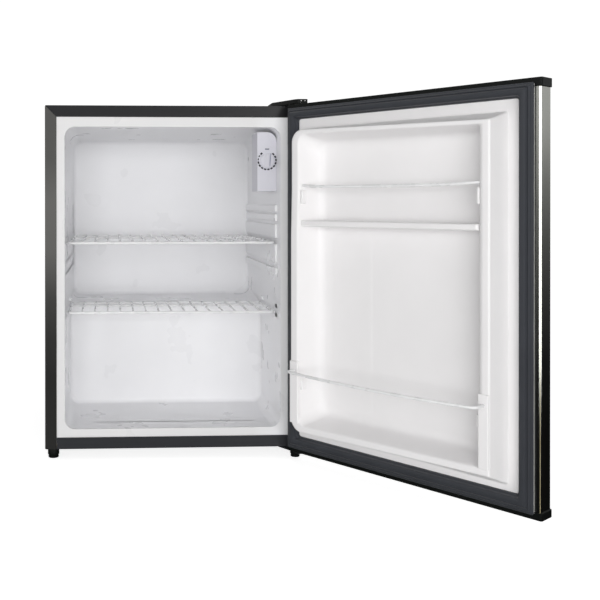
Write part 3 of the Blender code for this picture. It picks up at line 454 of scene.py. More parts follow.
def painted_steel(name, rgb, roughness=0.32):
    """Baked enamel on sheet steel with a very fine orange peel."""
    look = Surface(name, rgb, roughness, specular=0.4)
    look.bump(look.noise(420, 2), 0.04 * MM, 0.25)
    cloud = look.noise(9, 4)
    look.rough(cloud, roughness - 0.03, roughness + 0.04)
    look.tint(cloud, shaded(rgb, 0.96), shaded(rgb, 1.04))
    look.set("Coat Weight", 0.1)
    look.set("Coat Roughness", 0.2)
    return look


LEFT_FLANGE_PAINTED_SHEEN = (
    # height, linear tone of the paint with its painted reflection
    (0.03, 0.025),
    (0.14, 0.022),
    (0.21, 0.028),
    (0.28, 0.048),
    (0.36, 0.112),
    (0.45, 0.122),
    (0.52, 0.082),
    (0.60, 0.084),
)


def left_flange_painted_sheen():
    """Paint of the left front flange with a painted reflection: greyer and warmer towards its top."""
    look = Surface("left_flange_painted_sheen", (0.05, 0.05, 0.048), 0.34, specular=0.3)
    look.bump(look.noise(420, 2), 0.04 * MM, 0.25)
    # Painted reflection: the tone follows height, standing in for the sheen that the surroundings cast on
    # the flange.
    ramp = look.nodes.new("ShaderNodeValToRGB")
    look.links.new(look.along("Z"), ramp.inputs["Fac"])
    set_steps(ramp, [(height, (tone, 0.985 * tone, 0.93 * tone)) for height, tone in LEFT_FLANGE_PAINTED_SHEEN])
    look.links.new(ramp.outputs["Color"], look.shader.inputs["Base Color"])
    look.rough(look.noise(30, 3, (1, 1, 0.15)), 0.3, 0.4)
    return look


def moulded_plastic(name, rgb, roughness=0.35, grain=0.03, specular=0.45):
    """Injection-moulded or vacuum-formed plastic with a fine grain."""
    look = Surface(name, rgb, roughness, specular=specular)
    fine = look.noise(900, 2)
    look.bump(fine, grain * MM, 0.3)
    wave = look.noise(14, 3)
    look.bump(wave, 0.2 * MM, 0.1)
    look.rough(wave, roughness - 0.04, roughness + 0.05)
    look.tint(wave, shaded(rgb, 0.985), shaded(rgb, 1.01))
    return look


def liner_plastic():
    """Plastic of the food liner with painted shade: its front flange is a little greyer, except beside the
    hinge.
    """
    look = moulded_plastic("cabinet_plastic_shaded_flange", (0.925, 0.925, 0.94), 0.3, specular=0.5)
    # Painted shade: masks for the front flange away from the hinge, where the colour turns greyer.
    flange_shade_masks = []
    for axis, start, end in (("Y", 0.003, 0.007), ("X", 0.14, 0.185)):
        ramp = look.nodes.new("ShaderNodeValToRGB")
        look.links.new(look.along(axis), ramp.inputs["Fac"])
        set_steps(ramp, [(start, (1, 1, 1)), (end, (0, 0, 0))])
        flange_shade_masks.append(ramp.outputs["Color"])
    both = look.nodes.new("ShaderNodeMath")
    both.operation = "MULTIPLY"
    both.use_clamp = True
    look.links.new(flange_shade_masks[0], both.inputs[0])
    look.links.new(flange_shade_masks[1], both.inputs[1])
    painted_flange_shade = look.nodes.new("ShaderNodeMixRGB")
    colour = look.shader.inputs["Base Color"]
    look.links.new(both.outputs["Value"], painted_flange_shade.inputs["Fac"])
    look.links.new(colour.links[0].from_socket, painted_flange_shade.inputs["Color1"])
    painted_flange_shade.inputs["Color2"].default_value = (0.78, 0.775, 0.775, 1)
    look.links.new(painted_flange_shade.outputs["Color"], colour)
    return look


def brushed_steel(name, rgb, roughness):
    """Stainless sheet finely brushed along Z."""
    look = Surface(name, rgb, roughness, metallic=1.0)
    fine = look.noise(240, 4, (9, 9, 0.12), 0.6)
    broad = look.noise(12, 3, (4, 4, 0.6), 0.55)
    look.bump(fine, 0.03 * MM, 0.2)
    look.rough(fine, roughness - 0.04, roughness + 0.07)
    look.tint(broad, shaded(rgb, 0.93), shaded(rgb, 1.06))
    look.set("Anisotropic", 0.4)
    return look


def plated_steel(name, rgb, roughness):
    """Zinc-plated sheet with its faint spangle."""
    look = Surface(name, rgb, roughness, metallic=0.9)
    spangle = look.nodes.new("ShaderNodeTexVoronoi")
    spangle.inputs["Scale"].default_value = 110
    look.links.new(look.place.outputs["Object"], spangle.inputs["Vector"])
    look.rough(spangle.outputs["Distance"], roughness - 0.05, roughness + 0.12)
    look.tint(spangle.outputs["Distance"], shaded(rgb, 0.85), shaded(rgb, 1.1))
    look.bump(look.noise(500, 2), 0.03 * MM, 0.2)
    return look


def rubber(name, rgb, roughness=0.55):
    look = Surface(name, rgb, roughness, specular=0.35)
    look.bump(look.noise(700, 3), 0.05 * MM, 0.35)
    cloud = look.noise(25, 3)
    look.rough(cloud, roughness - 0.05, roughness + 0.07)
    look.tint(cloud, shaded(rgb, 0.94), shaded(rgb, 1.06))
    look.set("Sheen Weight", 0.08)
    return look


def coated_wire(name, rgb):
    """Thick powder coating on wire, slightly uneven."""
    look = Surface(name, rgb, 0.28, specular=0.5)
    look.bump(look.noise(260, 2), 0.03 * MM, 0.15)
    cloud = look.noise(40, 2)
    look.rough(cloud, 0.22, 0.36)
    look.tint(cloud, shaded(rgb, 0.95), shaded(rgb, 1.03))
    look.set("Coat Weight", 0.25)
    look.set("Coat Roughness", 0.15)
    return look


def bare_metal(name, rgb, roughness):
    look = Surface(name, rgb, roughness, metallic=1.0)
    stain = look.noise(60, 4)
    look.rough(stain, roughness - 0.06, roughness + 0.12)
    look.tint(stain, shaded(rgb, 0.8), shaded(rgb, 1.1))
    look.bump(look.noise(300, 3), 0.03 * MM, 0.25)
    return look


BLACK_PAINT = painted_steel("black_paint", (0.0125, 0.0128, 0.0145)).material
# Painted light: a lighter copy of the black paint, for the front rail that looks brighter than the rest.
RAIL_PAINTED_LIGHT = painted_steel("rail_painted_light", (0.034, 0.035, 0.039)).material
FLANGE_PAINTED_SHEEN = left_flange_painted_sheen().material
ENAMEL = painted_steel("compressor_enamel", (0.010, 0.010, 0.011), 0.22).material
# The liner's plastic carries painted shade on its front flange.
LINER_PLASTIC_SHADED_FLANGE = liner_plastic().material
DOOR_PLASTIC = moulded_plastic("door_plastic", (0.88, 0.868, 0.87), 0.32, specular=0.45).material
HOUSING_PLASTIC = moulded_plastic("housing_plastic", (0.70, 0.695, 0.75), 0.42, 0.05).material
BLACK_PLASTIC = moulded_plastic("black_plastic", (0.006, 0.007, 0.0065), 0.36, 0.06, 0.14).material
GREY_PLASTIC = moulded_plastic("grey_plastic", (0.25, 0.25, 0.26), 0.45).material
TRAY_PLASTIC = moulded_plastic("tray_plastic", (0.62, 0.62, 0.60), 0.5, 0.08).material
STAINLESS = brushed_steel("stainless", (0.46, 0.465, 0.43), 0.15).material
ZINC = plated_steel("zinc", (0.55, 0.56, 0.57), 0.38).material
SCREW_STEEL = bare_metal("screw_steel", (0.66, 0.66, 0.65), 0.22).material
COPPER = bare_metal("copper", (0.72, 0.37, 0.22), 0.3).material
ALUMINIUM = bare_metal("aluminium", (0.75, 0.76, 0.77), 0.34).material
SEAL_RUBBER = rubber("seal_rubber", (0.034, 0.037, 0.044), 0.5).material
BLACK_RUBBER = rubber("black_rubber", (0.016, 0.016, 0.016), 0.6).material
WIRE_COAT = coated_wire("wire_coat", (0.86, 0.86, 0.865)).material
INK = moulded_plastic("dial_ink", (0.006, 0.006, 0.016), 0.5).material
KNOB_INK = moulded_plastic("knob_ink", (0.36, 0.365, 0.45), 0.5).material
GREY_INK = moulded_plastic("grey_ink", (0.14, 0.145, 0.19), 0.5).material


def foam_look():
    look = Surface("foam", (0.70, 0.60, 0.34), 0.85)
    look.bump(look.noise(350, 4), 0.6 * MM, 0.6)
    look.tint(look.noise(30, 4), (0.58, 0.48, 0.25), (0.78, 0.69, 0.42))
    return look.material


FOAM = foam_look()


def dress(thing, material, body, slot=None, *replaced):
    """Gives a piece its material, the body that it rides on and the CAD nodes that it stands for."""
    thing.data.materials.clear()
    thing.data.materials.append(material)
    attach(thing, body)
    if replaced:
        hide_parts(*replaced)
    return thing


def dress_door(thing, material, slot=None, *replaced):
    """As dress, for a piece drawn with the door shut."""
    thing.data.transform(SWING)
    thing.data.update()
    return dress(thing, material, "door", slot, *replaced)


# Cabinet ------------------------------------------------------------------------


def build_cabinet_shell():
    """Bent steel wrap: two sides and a top whose front flanges meet in mitred corners."""
    low, high = SHELL_LOW, SHELL_HIGH
    shell = to_object("cabinet_shell", block(low, high, 2.2 * MM, 4, runs_along(1)))
    combine(
        shell,
        block(
            (low.x + SHEET, low.y + SHEET, low.z - SHEET),
            (high.x - SHEET, high.y + SHEET, high.z - SHEET),
            1.2 * MM,
            2,
            runs_along(1),
        ),
    )
    mouth = FLANGE
    combine(
        shell,
        block(
            (low.x + mouth, low.y - SHEET, low.z - SHEET),
            (high.x - mouth, low.y + 2 * SHEET, high.z - mouth),
        ),
    )
    for side in (-1, 1):
        combine(shell, mitre_groove(side))
    soften(shell, 0.45 * MM, 2)
    settle(shell)
    even_normals(shell)
    dress(shell, BLACK_PAINT, "cabinet", "black_steel", "outer_shell")
    # The left front flange takes the paint with the painted reflection along its height.
    shell.data.materials.append(FLANGE_PAINTED_SHEEN)
    for face in shell.data.polygons:
        across = low.x + mouth - face.center.x
        up = face.center.z - (high.z - mouth)
        if across > max(up, 0) and face.center.y < 2 * MM:
            face.material_index = 1
    return shell


def mitre_groove(side):
    """A fine slot along the 45 degree joint of two flanges."""
    corner = (side * SHELL_HIGH.x, SHELL_LOW.y, SHELL_HIGH.z)
    slot = block((-0.25 * MM, -1 * MM, -40 * MM), (0.25 * MM, 0.55 * MM, 40 * MM))
    return placed(slot, corner, side * math.pi / 4)


def cavity(grow, front_y, radius, segments):
    """The food compartment as a solid: an L seen from the side, rounded tighter at its rear walls."""
    low, high = CAVITY_FLOOR_Z - grow, CAVITY_CEILING_Z + grow
    hump = HUMP_Z - grow
    upper, lower = UPPER_DEPTH + grow, LOWER_DEPTH + grow
    half = CAVITY_HALF_W + grow
    profile = [
        (front_y, low), (lower, low), (lower, hump), (upper, hump), (upper, high), (front_y, high),
    ]
    bm = pulled([(-half, y, z) for y, z in profile], (2 * half, 0, 0))
    round_edges(bm, radius, segments, runs_along(1))
    round_edges(bm, max(radius - TIGHTER_BY, 0.4 * radius), 5, behind(front_y + MOUTH_DEPTH))
    return bm


def behind(start):
    """Picks the edges that lie wholly in one of the walls facing the door."""
    def chosen(edge):
        a, b = (vert.co.y for vert in edge.verts)
        return a > start and abs(a - b) < 0.01 * MM
    return chosen


def build_food_liner():
    """Vacuum-formed liner: flange, compartment, compressor hump and shelf supports."""
    front = LINER_LOW.y
    radius = 18 * MM
    liner = to_object(
        "food_liner",
        block(
            (LINER_LOW.x, front, LINER_LOW.z),
            (LINER_HIGH.x, front + LINER_T, LINER_HIGH.z),
        ),
    )
    combine(liner, cavity(LINER_T, front + 0.2 * MM, radius + LINER_T, 8), "UNION")
    nose = block(
        (-CAVITY_HALF_W - LINER_T, front + 0.1 * MM, CAVITY_FLOOR_Z - LINER_T),
        (CAVITY_HALF_W + LINER_T, front + 3 * radius, CAVITY_CEILING_Z + LINER_T),
        radius + LINER_T, 8, runs_along(1),
    )
    combine(liner, nose, "UNION")
    combine(liner, cavity(0, front - 4 * radius, radius, 8))
    soften(liner, 1.6 * MM, 3, 60)
    settle(liner)
    ridge = block((-135 * MM, 47 * MM, 51 * MM), (148 * MM, 50.5 * MM, 53.4 * MM), 1 * MM, 3)
    combine(liner, joined([*shelf_supports(), ridge]), "UNION")
    even_normals(liner)
    return dress(liner, LINER_PLASTIC_SHADED_FLANGE, "cabinet", "liner_plastic", "inner_liner")


PAD_OUT = 5.0 * MM
PAD_Y = (34 * MM, 366 * MM)
PAD_BARS = [(316, 328), (338, 370.8), (381.6, 406), (412, 424.5), (428.5, 441)]
NUB_Y = ((34, 52), (172, 189))
NUB_BARS = [(239.3, 246.8), (255.2, 262.7)]
IN_WALL = 1.0 * MM
NOSE_TAPER = 1.2 * MM


def shelf_supports():
    """Bars with slots between them for the upper shelf, and four pairs of nubs for the lower one."""
    bars = [(z0, z1, PAD_Y) for z0, z1 in PAD_BARS]
    bars += [(z0, z1, (y0 * MM, y1 * MM)) for z0, z1 in NUB_BARS for y0, y1 in NUB_Y]
    made = []
    for side in (-1, 1):
        for z0, z1, (y0, y1) in bars:
            xs = sorted((side * (CAVITY_HALF_W - PAD_OUT), side * (CAVITY_HALF_W + IN_WALL)))
            bar = block((xs[0], y0, z0 * MM), (xs[1], y1, z1 * MM), 1.6 * MM, 4)
            for vert in bar.verts:
                if vert.co.y < y0 + 2 * MM and abs(vert.co.x) < CAVITY_HALF_W - 3 * MM:
                    vert.co.x += side * NOSE_TAPER
            made.append(bar)
    return made


# Door -------------------------------------------------------------------------


FLANGE_Y = -12 * MM
CREST_Y = DOOR_LINER_HIGH.y
TRAY_Y = -14 * MM
DOOR_LINER_T = 1.5 * MM

RING_STEPS = [
    # depth, then half width, bottom, top and corner radius on the free side and on the hinge side
    (FLANGE_Y, (212, 27, 606, 2), (217, 27, 606, 2)),
    (FLANGE_Y, (211, 28.5, 604.5, 3), (215.5, 28.5, 604.5, 3)),
    (FLANGE_Y, (200, 40, 590, 6), (200, 42, 592, 8)),
    (FLANGE_Y, (179.2, 55.8, 572.2, 6), (180, 61.8, 572, 20)),
    (FLANGE_Y + 0.1 * MM, (177.6, 57.4, 570.6, 5), (178.4, 63.4, 570.4, 21)),
    (FLANGE_Y + 0.6 * MM, (176.7, 58.3, 569.7, 4.4), (177.6, 64.3, 569.4, 21.5)),
    (FLANGE_Y + 1.8 * MM, (176.2, 59.2, 568.9, 4), (177.2, 64.8, 568.9, 22)),
    (FLANGE_Y + 12 * MM, (175.0, 63.6, 565.8, 3.6), (177.0, 66.2, 567.7, 22)),
    (FLANGE_Y + 24 * MM, (173.6, 68.9, 562.4, 3.3), (176.7, 67.7, 566.4, 22)),
    (CREST_Y - 3.0 * MM, (171.9, 74.2, 558.4, 3), (176.2, 69.8, 564.8, 21)),
    (CREST_Y - 1.2 * MM, (171.3, 75.3, 557.6, 2.8), (175.5, 70.5, 564.2, 20.5)),
    (CREST_Y - 0.3 * MM, (170.4, 76.4, 556.8, 2.6), (174.2, 71.4, 563.4, 20)),
    (CREST_Y, (169.0, 77.8, 555.6, 2.4), (172.4, 72.8, 562.2, 19)),
    (CREST_Y, (162.6, 82.6, 553.2, 3), (163.6, 79.4, 559.0, 16)),
    (CREST_Y - 0.4 * MM, (160.2, 84.2, 552.4, 3), (162.0, 80.8, 557.6, 16)),
    (CREST_Y - 1.5 * MM, (157.6, 85.4, 551.6, 3), (160.8, 81.8, 556.6, 15.5)),
    (CREST_Y - 3.4 * MM, (155.6, 86.2, 551.0, 3.2), (159.6, 82.6, 555.8, 15)),
    (CREST_Y - 10 * MM, (153.8, 88.0, 549.6, 3.6), (157.2, 85.2, 553.2, 15.5)),
    (CREST_Y - 20 * MM, (152.0, 90.4, 547.6, 4), (154.4, 88.2, 550.4, 16.5)),
    (TRAY_Y + 14 * MM, (150.0, 93.0, 545.6, 5), (151.2, 91.4, 547.4, 17)),
    (TRAY_Y + 8.5 * MM, (148.4, 94.6, 544.2, 6), (149.0, 93.4, 545.4, 18)),
    (TRAY_Y + 4.6 * MM, (146.2, 96.8, 542.2, 6), (146.2, 96.0, 543.0, 18)),
    (TRAY_Y + 1.9 * MM, (143.2, 100.0, 539.2, 6), (142.6, 99.6, 539.6, 17)),
    (TRAY_Y + 0.5 * MM, (139.4, 104.0, 535.4, 5), (138.4, 103.8, 535.6, 15)),
    (TRAY_Y, (134.0, 109.0, 530.6, 5), (133.0, 109.0, 530.6, 12)),
]


def build_door_liner():
    """Vacuum-formed inner door: flange, raised ring and tray, as one skin of even thickness."""
    sections = []
    for y, free, hinge in RING_STEPS:
        left, right = [[value * MM for value in side] for side in (free, hinge)]
        lows, highs, radii = [tuple(pair) for pair in list(zip(left, right))[1:]]
        ring = rounded_rect(-left[0], right[0], lows, highs, radii)
        sections.append([(x, y + deeper(x, y, z), z) for x, z in ring])
    skin = to_object("door_inner", loft(sections, close_end=True))
    if skin.data.polygons[-1].normal.y < 0:
        skin.data.flip_normals()
    step = skin.modifiers.new("thickness", "SOLIDIFY")
    step.thickness = DOOR_LINER_T
    step.offset = -1
    settle(skin)
    combine(skin, bin_ledge(), "UNION")
    combine(skin, joined([tray_panel(), *rail_sockets(), *rail_pads()]), "UNION")
    even_normals(skin)
    return dress_door(skin, DOOR_PLASTIC, "door_liner_plastic", "door_liner")


def deeper(x, y, z):
    """How much further out the ring stands along the hinge side, below the thermostat knob."""
    across = smoothstep(60 * MM, 165 * MM, x)
    under_knob = 1 - smoothstep(400 * MM, 460 * MM, z)
    return 2.0 * MM * smoothstep(FLANGE_Y + 6 * MM, CREST_Y, y) * across * under_knob


INNER_FROM = 13


def tray_half(y, side):
    """Half width of the tray at a depth, on the free side (-1) or the hinge side (1)."""
    inner = [(step[0], step[1 if side < 0 else 2][0] * MM) for step in RING_STEPS[INNER_FROM:]]
    for (y0, x0), (y1, x1) in zip(inner, inner[1:]):
        if y1 <= y < y0:
            return x0 + (x1 - x0) * (y0 - y) / (y0 - y1)
    return inner[-1][1]


LEDGE_Z = (406 * MM, 416.5 * MM)
LEDGE_STEPS = [
    # depth, shortening of the free end and of the hinge end, rounding of the top and bottom edges
    (TRAY_Y - 0.7 * MM, 0, 0, 0.3),
    (-4 * MM, 0, 0, 0.3),
    (8 * MM, 0, 0, 0.3),
    (17 * MM, 0, 0, 0.3),
    (20.5 * MM, 0.8, 0, 0.3),
    (23 * MM, 2.4, 0.6, 0.5),
    (24.8 * MM, 4.4, 1.6, 1.1),
    (25.7 * MM, 6.0, 2.8, 2.0),
    (26 * MM, 8.0, 4.4, 3.0),
]


def bin_ledge():
    """The shelf that the upper bin stands on, let into both walls of the tray."""
    sections = []
    for y, free_cut, hinge_cut, edge in LEDGE_STEPS:
        left = -tray_half(y, -1) - (0.7 - free_cut) * MM
        right = tray_half(y, 1) + (0.7 - hinge_cut) * MM
        low, high = LEDGE_Z[0] + edge * MM, LEDGE_Z[1] - edge * MM
        ring = rounded_rect(left, right, low, high, 1 * MM, (3, 10, 2))
        sections.append([(x, y, z) for x, z in ring])
    return loft(sections, close_start=True, close_end=True)


def tray_panel():
    """Shallow panel of the tray under the ledge, on the hinge side, with long soft edges."""
    stretch = 8.0
    middle = TRAY_Y - 2 * MM
    low = (42 * MM, middle, 106 * MM)
    high = (128 * MM, middle + 2.6 * MM * stretch, 400 * MM)
    bm = block(low, high, 14 * MM, 8)
    for vert in bm.verts:
        vert.co.y = middle + (vert.co.y - middle) / stretch
    return bm


def rail_sockets():
    """Rounded bosses on the tray walls that the rail ends clip into."""
    made = []
    for z0, z1 in ((443 * MM, 466 * MM), (139 * MM, 157 * MM)):
        for side in (-1, 1):
            wall = tray_half(20 * MM, side)
            xs = sorted((side * (wall - 3 * MM), side * (wall + 1.6 * MM)))
            made.append(block((xs[0], 16.5 * MM, z0), (xs[1], 26.5 * MM, z1), 1.6 * MM, 4))
    return made


def rail_pads():
    """Flat pads on the crest, beside the lower bin, where the lower rail is let in."""
    low_z, high_z = 84 * MM, 186 * MM
    free = block((-171 * MM, CREST_Y - 4 * MM, low_z), (-156 * MM, CREST_Y + 2 * MM, high_z), 1.4 * MM, 4)
    hinge = block((159 * MM, CREST_Y - 4 * MM, low_z), (176 * MM, CREST_Y + 4.4 * MM, high_z), 1.6 * MM, 4)
    return [free, hinge]


SEAL_FREE_CUT = 4.4
SEAL_FREE_SQUEEZE = 0.817


def build_door_seal():
    """Magnetic seal: a soft tube with a bellows, narrower along the free side of the door."""
    profile = [
        # distance in from the outer edge, height over the flange, in millimetres
        (0.0, 0.3), (0.0, 2.6), (1.2, 3.8), (3.4, 4.2), (4.4, 6.2), (6.0, 7.0), (7.6, 6.2),
        (8.6, 7.6), (10.2, 10.4), (12.6, 11.0), (17.0, 11.0), (19.4, 10.4), (20.6, 8.4),
        (21.2, 5.6), (23.0, 4.6), (24.0, 2.8), (24.0, 0.3),
    ]
    smooth = []
    for a, b in zip(profile, profile[1:]):
        smooth += [(a[0] + (b[0] - a[0]) * t / 2, a[1] + (b[1] - a[1]) * t / 2) for t in range(2)]
    smooth.append(profile[-1])
    sections = []
    for inset, height in smooth:
        free = SEAL_HIGH.x - (SEAL_FREE_CUT + inset * SEAL_FREE_SQUEEZE) * MM
        hinge = SEAL_HIGH.x - inset * MM
        low, high = SEAL_LOW.z + inset * 0.96 * MM, SEAL_HIGH.z - inset * 0.83 * MM
        radius = (1.0 + 3.0 * inset / 24) * MM
        y = FLANGE_Y + height * MM
        ring = rounded_rect(-free, hinge, low, high, radius, (4, 8, 12))
        sections.append([(x, y, z) for x, z in ring])
    bm = loft(sections + sections[:1])
    bmesh.ops.remove_doubles(bm, verts=bm.verts, dist=1e-6)
    bmesh.ops.recalc_face_normals(bm, faces=bm.faces)
    seal = to_object("door_seal", bm, 50)
    return dress_door(seal, SEAL_RUBBER, "gasket_rubber", "door_gasket")


def build_bin_rails():
    """Coated wire rails of the two door bins."""
    radius = 2.2 * MM
    half = shut_box("upper_bin_rail")[1].x
    count = 40
    points = []
    for i in range(count + 1):
        u = -1 + 2 * i / count
        end = max(0.0, (abs(u) - 0.8) / 0.2)
        y = (27 - 3.5 * end**2) * MM
        points.append((u * half, y, (470 + 3 * u**4) * MM))
    upper = to_object("upper_rail", wire(points, radius))
    dress_door(upper, WIRE_COAT, "white_coated_wire", "upper_bin_rail")
    low, high = shut_box("lower_bin_rail")
    leg_x = high.x - radius
    z = (low.z + high.z) / 2
    foot_y = low.y - 1.5 * MM
    bow = 66 * MM
    corners = [(-leg_x, foot_y, z), (-leg_x, 54 * MM, z)]
    path = fillet_path([*corners, (-leg_x + 30 * MM, 56.6 * MM, z)], 10 * MM)
    for i in range(1, 24):
        u = -1 + 2 * i / 24
        x = u * (leg_x - 18 * MM)
        path.append(Vector((x, bow - (bow - 56 * MM) * u * u, z)))
    path += [Vector((-p.x, p.y, p.z)) for p in reversed(path[: len(path) - 23])]
    lower = to_object("lower_rail", wire(path, radius))
    dress_door(lower, WIRE_COAT, "white_coated_wire", "lower_bin_rail")


def build_door_skin():
    """Stainless pan: rounded in front, folded over at the back with a chamfer and a lip."""
    low, high = PANEL_LOW, PANEL_HIGH
    t = 0.8 * MM
    radius = 3.0 * MM
    fold = 2.6 * MM

    def front(edge):
        return runs_along(2)(edge) and edge.verts[0].co.y < high.y - 10 * MM

    def back(edge):
        return runs_along(2)(edge) and edge.verts[0].co.y > high.y - 2 * MM

    outside = block(low, high, radius, 6, front)
    round_edges(outside, fold, 1, back)
    skin = to_object("door_skin", outside)
    inner_low, inner_high = (low.x + t, low.y + t, low.z - t), (high.x - t, high.y - t, high.z + t)
    inside = block(inner_low, inner_high, radius - t, 6, front)
    round_edges(inside, fold - 0.6 * t, 1, back)
    combine(skin, inside)
    lip = 12 * MM
    combine(skin, block((low.x + lip, low.y + 2 * t, low.z - t), (high.x - lip, high.y + t, high.z + t)))
    soften(skin, 0.25 * MM, 2)
    settle(skin)
    even_normals(skin)
    return dress_door(skin, STAINLESS, "stainless_steel", "door_panel")


def build_door_cap(name, node, towards):
    """Moulded end cap with a shallow inset panel on its outer face and a hinge bore."""
    low, high = shut_box(node)
    cap = to_object(name, block(low, high, 3.2 * MM, 5, runs_along(2)))
    face = high.z if towards > 0 else low.z
    inset = 2.4 * MM
    depth = 0.8 * MM
    zs = sorted((face - towards * depth, face + towards * depth))
    combine(
        cap,
        block((low.x + inset, low.y + inset, zs[0]), (high.x - 36 * MM, high.y - inset, zs[1]), 2 * MM, 3,
              runs_along(2)),
    )
    combine(cap, disc(7.3 * MM, low.z - 1 * MM, high.z + 1 * MM, (HINGE[0], HINGE[1], 0), edge=0.1 * MM))
    soften(cap, 0.6 * MM, 3)
    settle(cap)
    even_normals(cap)
    return dress_door(cap, BLACK_PLASTIC, "black_plastic", node)


# Shelves ------------------------------------------------------------------------


def build_shelf(name, node):
    """Coated wire shelf: a rod frame, a centre rod and wires from front to back."""
    low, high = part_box(node)
    rod, thin = 2.4 * MM, 1.6 * MM
    z = low.z + rod
    half = high.x - rod
    front, back = low.y + rod, high.y - rod
    corners = [(-half, front, z), (half, front, z), (half, back, z), (-half, back, z)]
    looped = fillet_path([corners[-1], *corners, corners[0]], 8 * MM, 6)[1:-1]
    parts = [wire(looped, rod, cyclic=True)]
    middle = front + 0.7 * (back - front)
    parts.append(wire([(-half, middle, z), (half, middle, z)], 2.0 * MM))
    count = 16
    top = z + 0.6 * rod
    for i in range(1, count):
        x = -half + 2 * half * i / count
        path = [(x, front + 0.6 * MM, top - 0.9 * MM), (x, front + 1.6 * MM, top - 0.2 * MM),
                (x, front + 4 * MM, top), (x, back - 4 * MM, top), (x, back - 1.6 * MM, top - 0.2 * MM),
                (x, back - 0.6 * MM, top - 0.9 * MM)]
        parts.append(wire(path, thin, sides=3))
    shelf = to_object(name, joined(parts), 60)
    return dress(shelf, WIRE_COAT, node, "white_coated_wire", node)


# Thermostat ---------------------------------------------------------------------


def build_thermostat():
    """Control box with a rounded corner, a dial scale and a turning knob."""
    low, high = HOUSING_LOW, HOUSING_HIGH
    dial = Vector(JOINTS["thermostat_turn"]["pos_m"])

    def corner(edge):
        middle = (edge.verts[0].co + edge.verts[1].co) / 2
        return runs_along(1)(edge) and middle.z > dial.z and middle.x > dial.x

    housing = to_object("control_box", block(low, high, 17 * MM, 12, corner))
    combine(housing, block((low.x + 2 * MM, low.y + 2 * MM, low.z + 2 * MM),
                           (high.x + 2 * MM, high.y - 2 * MM, high.z - 8 * MM)))
    combine(housing, disc(5 * MM, low.y - 5 * MM, low.y + 20 * MM, (dial.x, 0, dial.z), 1, 0.1 * MM))
    soften(housing, 1.0 * MM, 3)
    settle(housing)
    even_normals(housing)
    dress(housing, HOUSING_PLASTIC, "cabinet", "housing_plastic", "thermostat_housing")
    marks = to_object("dial_scale", joined(dial_marks(dial, low.y)))
    dress(marks, INK, "cabinet", "black_plastic")
    top_mark = to_object("dial_top_mark", bar_mark(dial, low.y))
    dress(top_mark, GREY_INK, "cabinet", "grey_plastic")
    knob = to_object("knob", knob_mesh(dial), 40)
    dress(knob, HOUSING_PLASTIC, "thermostat_knob", "knob_plastic", "thermostat_knob")
    line = to_object("knob_pointer", pointer(dial))
    dress(line, KNOB_INK, "thermostat_knob", "grey_plastic")


def dial_marks(dial, face_y):
    """Bold dashes round the dial, open at the top; the second and third are finer."""
    radius = 16.0 * MM
    made = []
    count = 14
    for i in range(count):
        angle = math.radians(-230 + 276 * i / (count - 1))
        length = (3.4 if 0 < i < 3 else 4.3) * MM
        width = (2.0 if 0 < i < 3 else 2.9) * MM
        dash = block((-length / 2, 0, -width / 2), (length / 2, 0.5 * MM, width / 2), 0.2 * MM, 1)
        at = (dial.x + radius * math.cos(angle), face_y - 0.25 * MM, dial.z + radius * math.sin(angle))
        made.append(placed(dash, at, math.pi / 2 - angle))
    return made


def bar_mark(dial, face_y):
    """Short bar over the gap in the dashes."""
    low = (dial.x - 3.8 * MM, face_y - 0.2 * MM, dial.z + 19.4 * MM)
    high = (dial.x + 3.8 * MM, face_y + 0.3 * MM, dial.z + 21.5 * MM)
    return block(low, high, 0.15 * MM, 1)


def pointer(dial):
    """Coloured line along one flank of the knob's grip."""
    line = block((-0.8 * MM, 0, -11.5 * MM), (0.8 * MM, 1.2 * MM, 11.5 * MM), 0.3 * MM, 2)
    return placed(line, (dial.x + 5.2 * MM, KNOB_LOW.y + 1.3 * MM, dial.z + 1 * MM), math.radians(5))


def knob_mesh(dial):
    """Round knob with a raised grip across its face."""
    front, back = KNOB_LOW.y, KNOB_HIGH.y
    radius = (KNOB_HIGH.x - KNOB_LOW.x) / 2
    body = disc(radius, front + 1.8 * MM, back, (dial.x, 0, dial.z), 1, 0.8 * MM, 64)
    grip = block(
        (dial.x - 3.8 * MM, front, dial.z - radius * 0.86),
        (dial.x + 3.8 * MM, front + 3 * MM, dial.z + radius * 0.86), 1.3 * MM, 4,
    )
    return joined([body, grip])


# Hinges and feet ----------------------------------------------------------------


COVER_OUTLINE = [
    (177, 20), (205, -34), (210, -40), (227, -40), (227, -8), (222.5, 0), (222.5, 60), (177, 60),
]


def inset_outline(outline, by):
    """Moves every side of an anticlockwise outline inwards by a distance in millimetres."""
    made = []
    for before, corner, after in zip([outline[-1], *outline], outline, [*outline[1:], outline[0]]):
        run = (Vector(corner) - Vector(before)).normalized()
        turn = (Vector(after) - Vector(corner)).normalized()
        first, second = Vector((-run.y, run.x)), Vector((-turn.y, turn.x))
        made.append(Vector(corner) + by * (first + second) / (1 + first.dot(second)))
    return made


def build_hinge_cover():
    """Moulded cover over the top hinge plate, with two small screws in its front end."""
    low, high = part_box("top_hinge_cover")
    outline = [(x * MM, y * MM) for x, y in COVER_OUTLINE]
    cover = to_object("hinge_cover", outline_plate(outline, low.z, high.z))
    inner = [(x * MM, y * MM) for x, y in inset_outline(COVER_OUTLINE, 1.8)]
    combine(cover, outline_plate(inner, low.z - 1 * MM, high.z - 2 * MM))
    soften(cover, 0.7 * MM, 3)
    settle(cover)
    even_normals(cover)
    dress(cover, BLACK_PLASTIC, "cabinet", "black_plastic", "top_hinge_cover")
    heads = []
    for x in (216 * MM, 222.5 * MM):
        heads.append(screw_head(1.3 * MM, 0.2 * MM, 0.9 * MM, (x, -40 * MM, high.z - 3.4 * MM)))
    screws = to_object("cover_screws", joined(heads))
    dress(screws, SCREW_STEEL, "cabinet", "bright_steel")


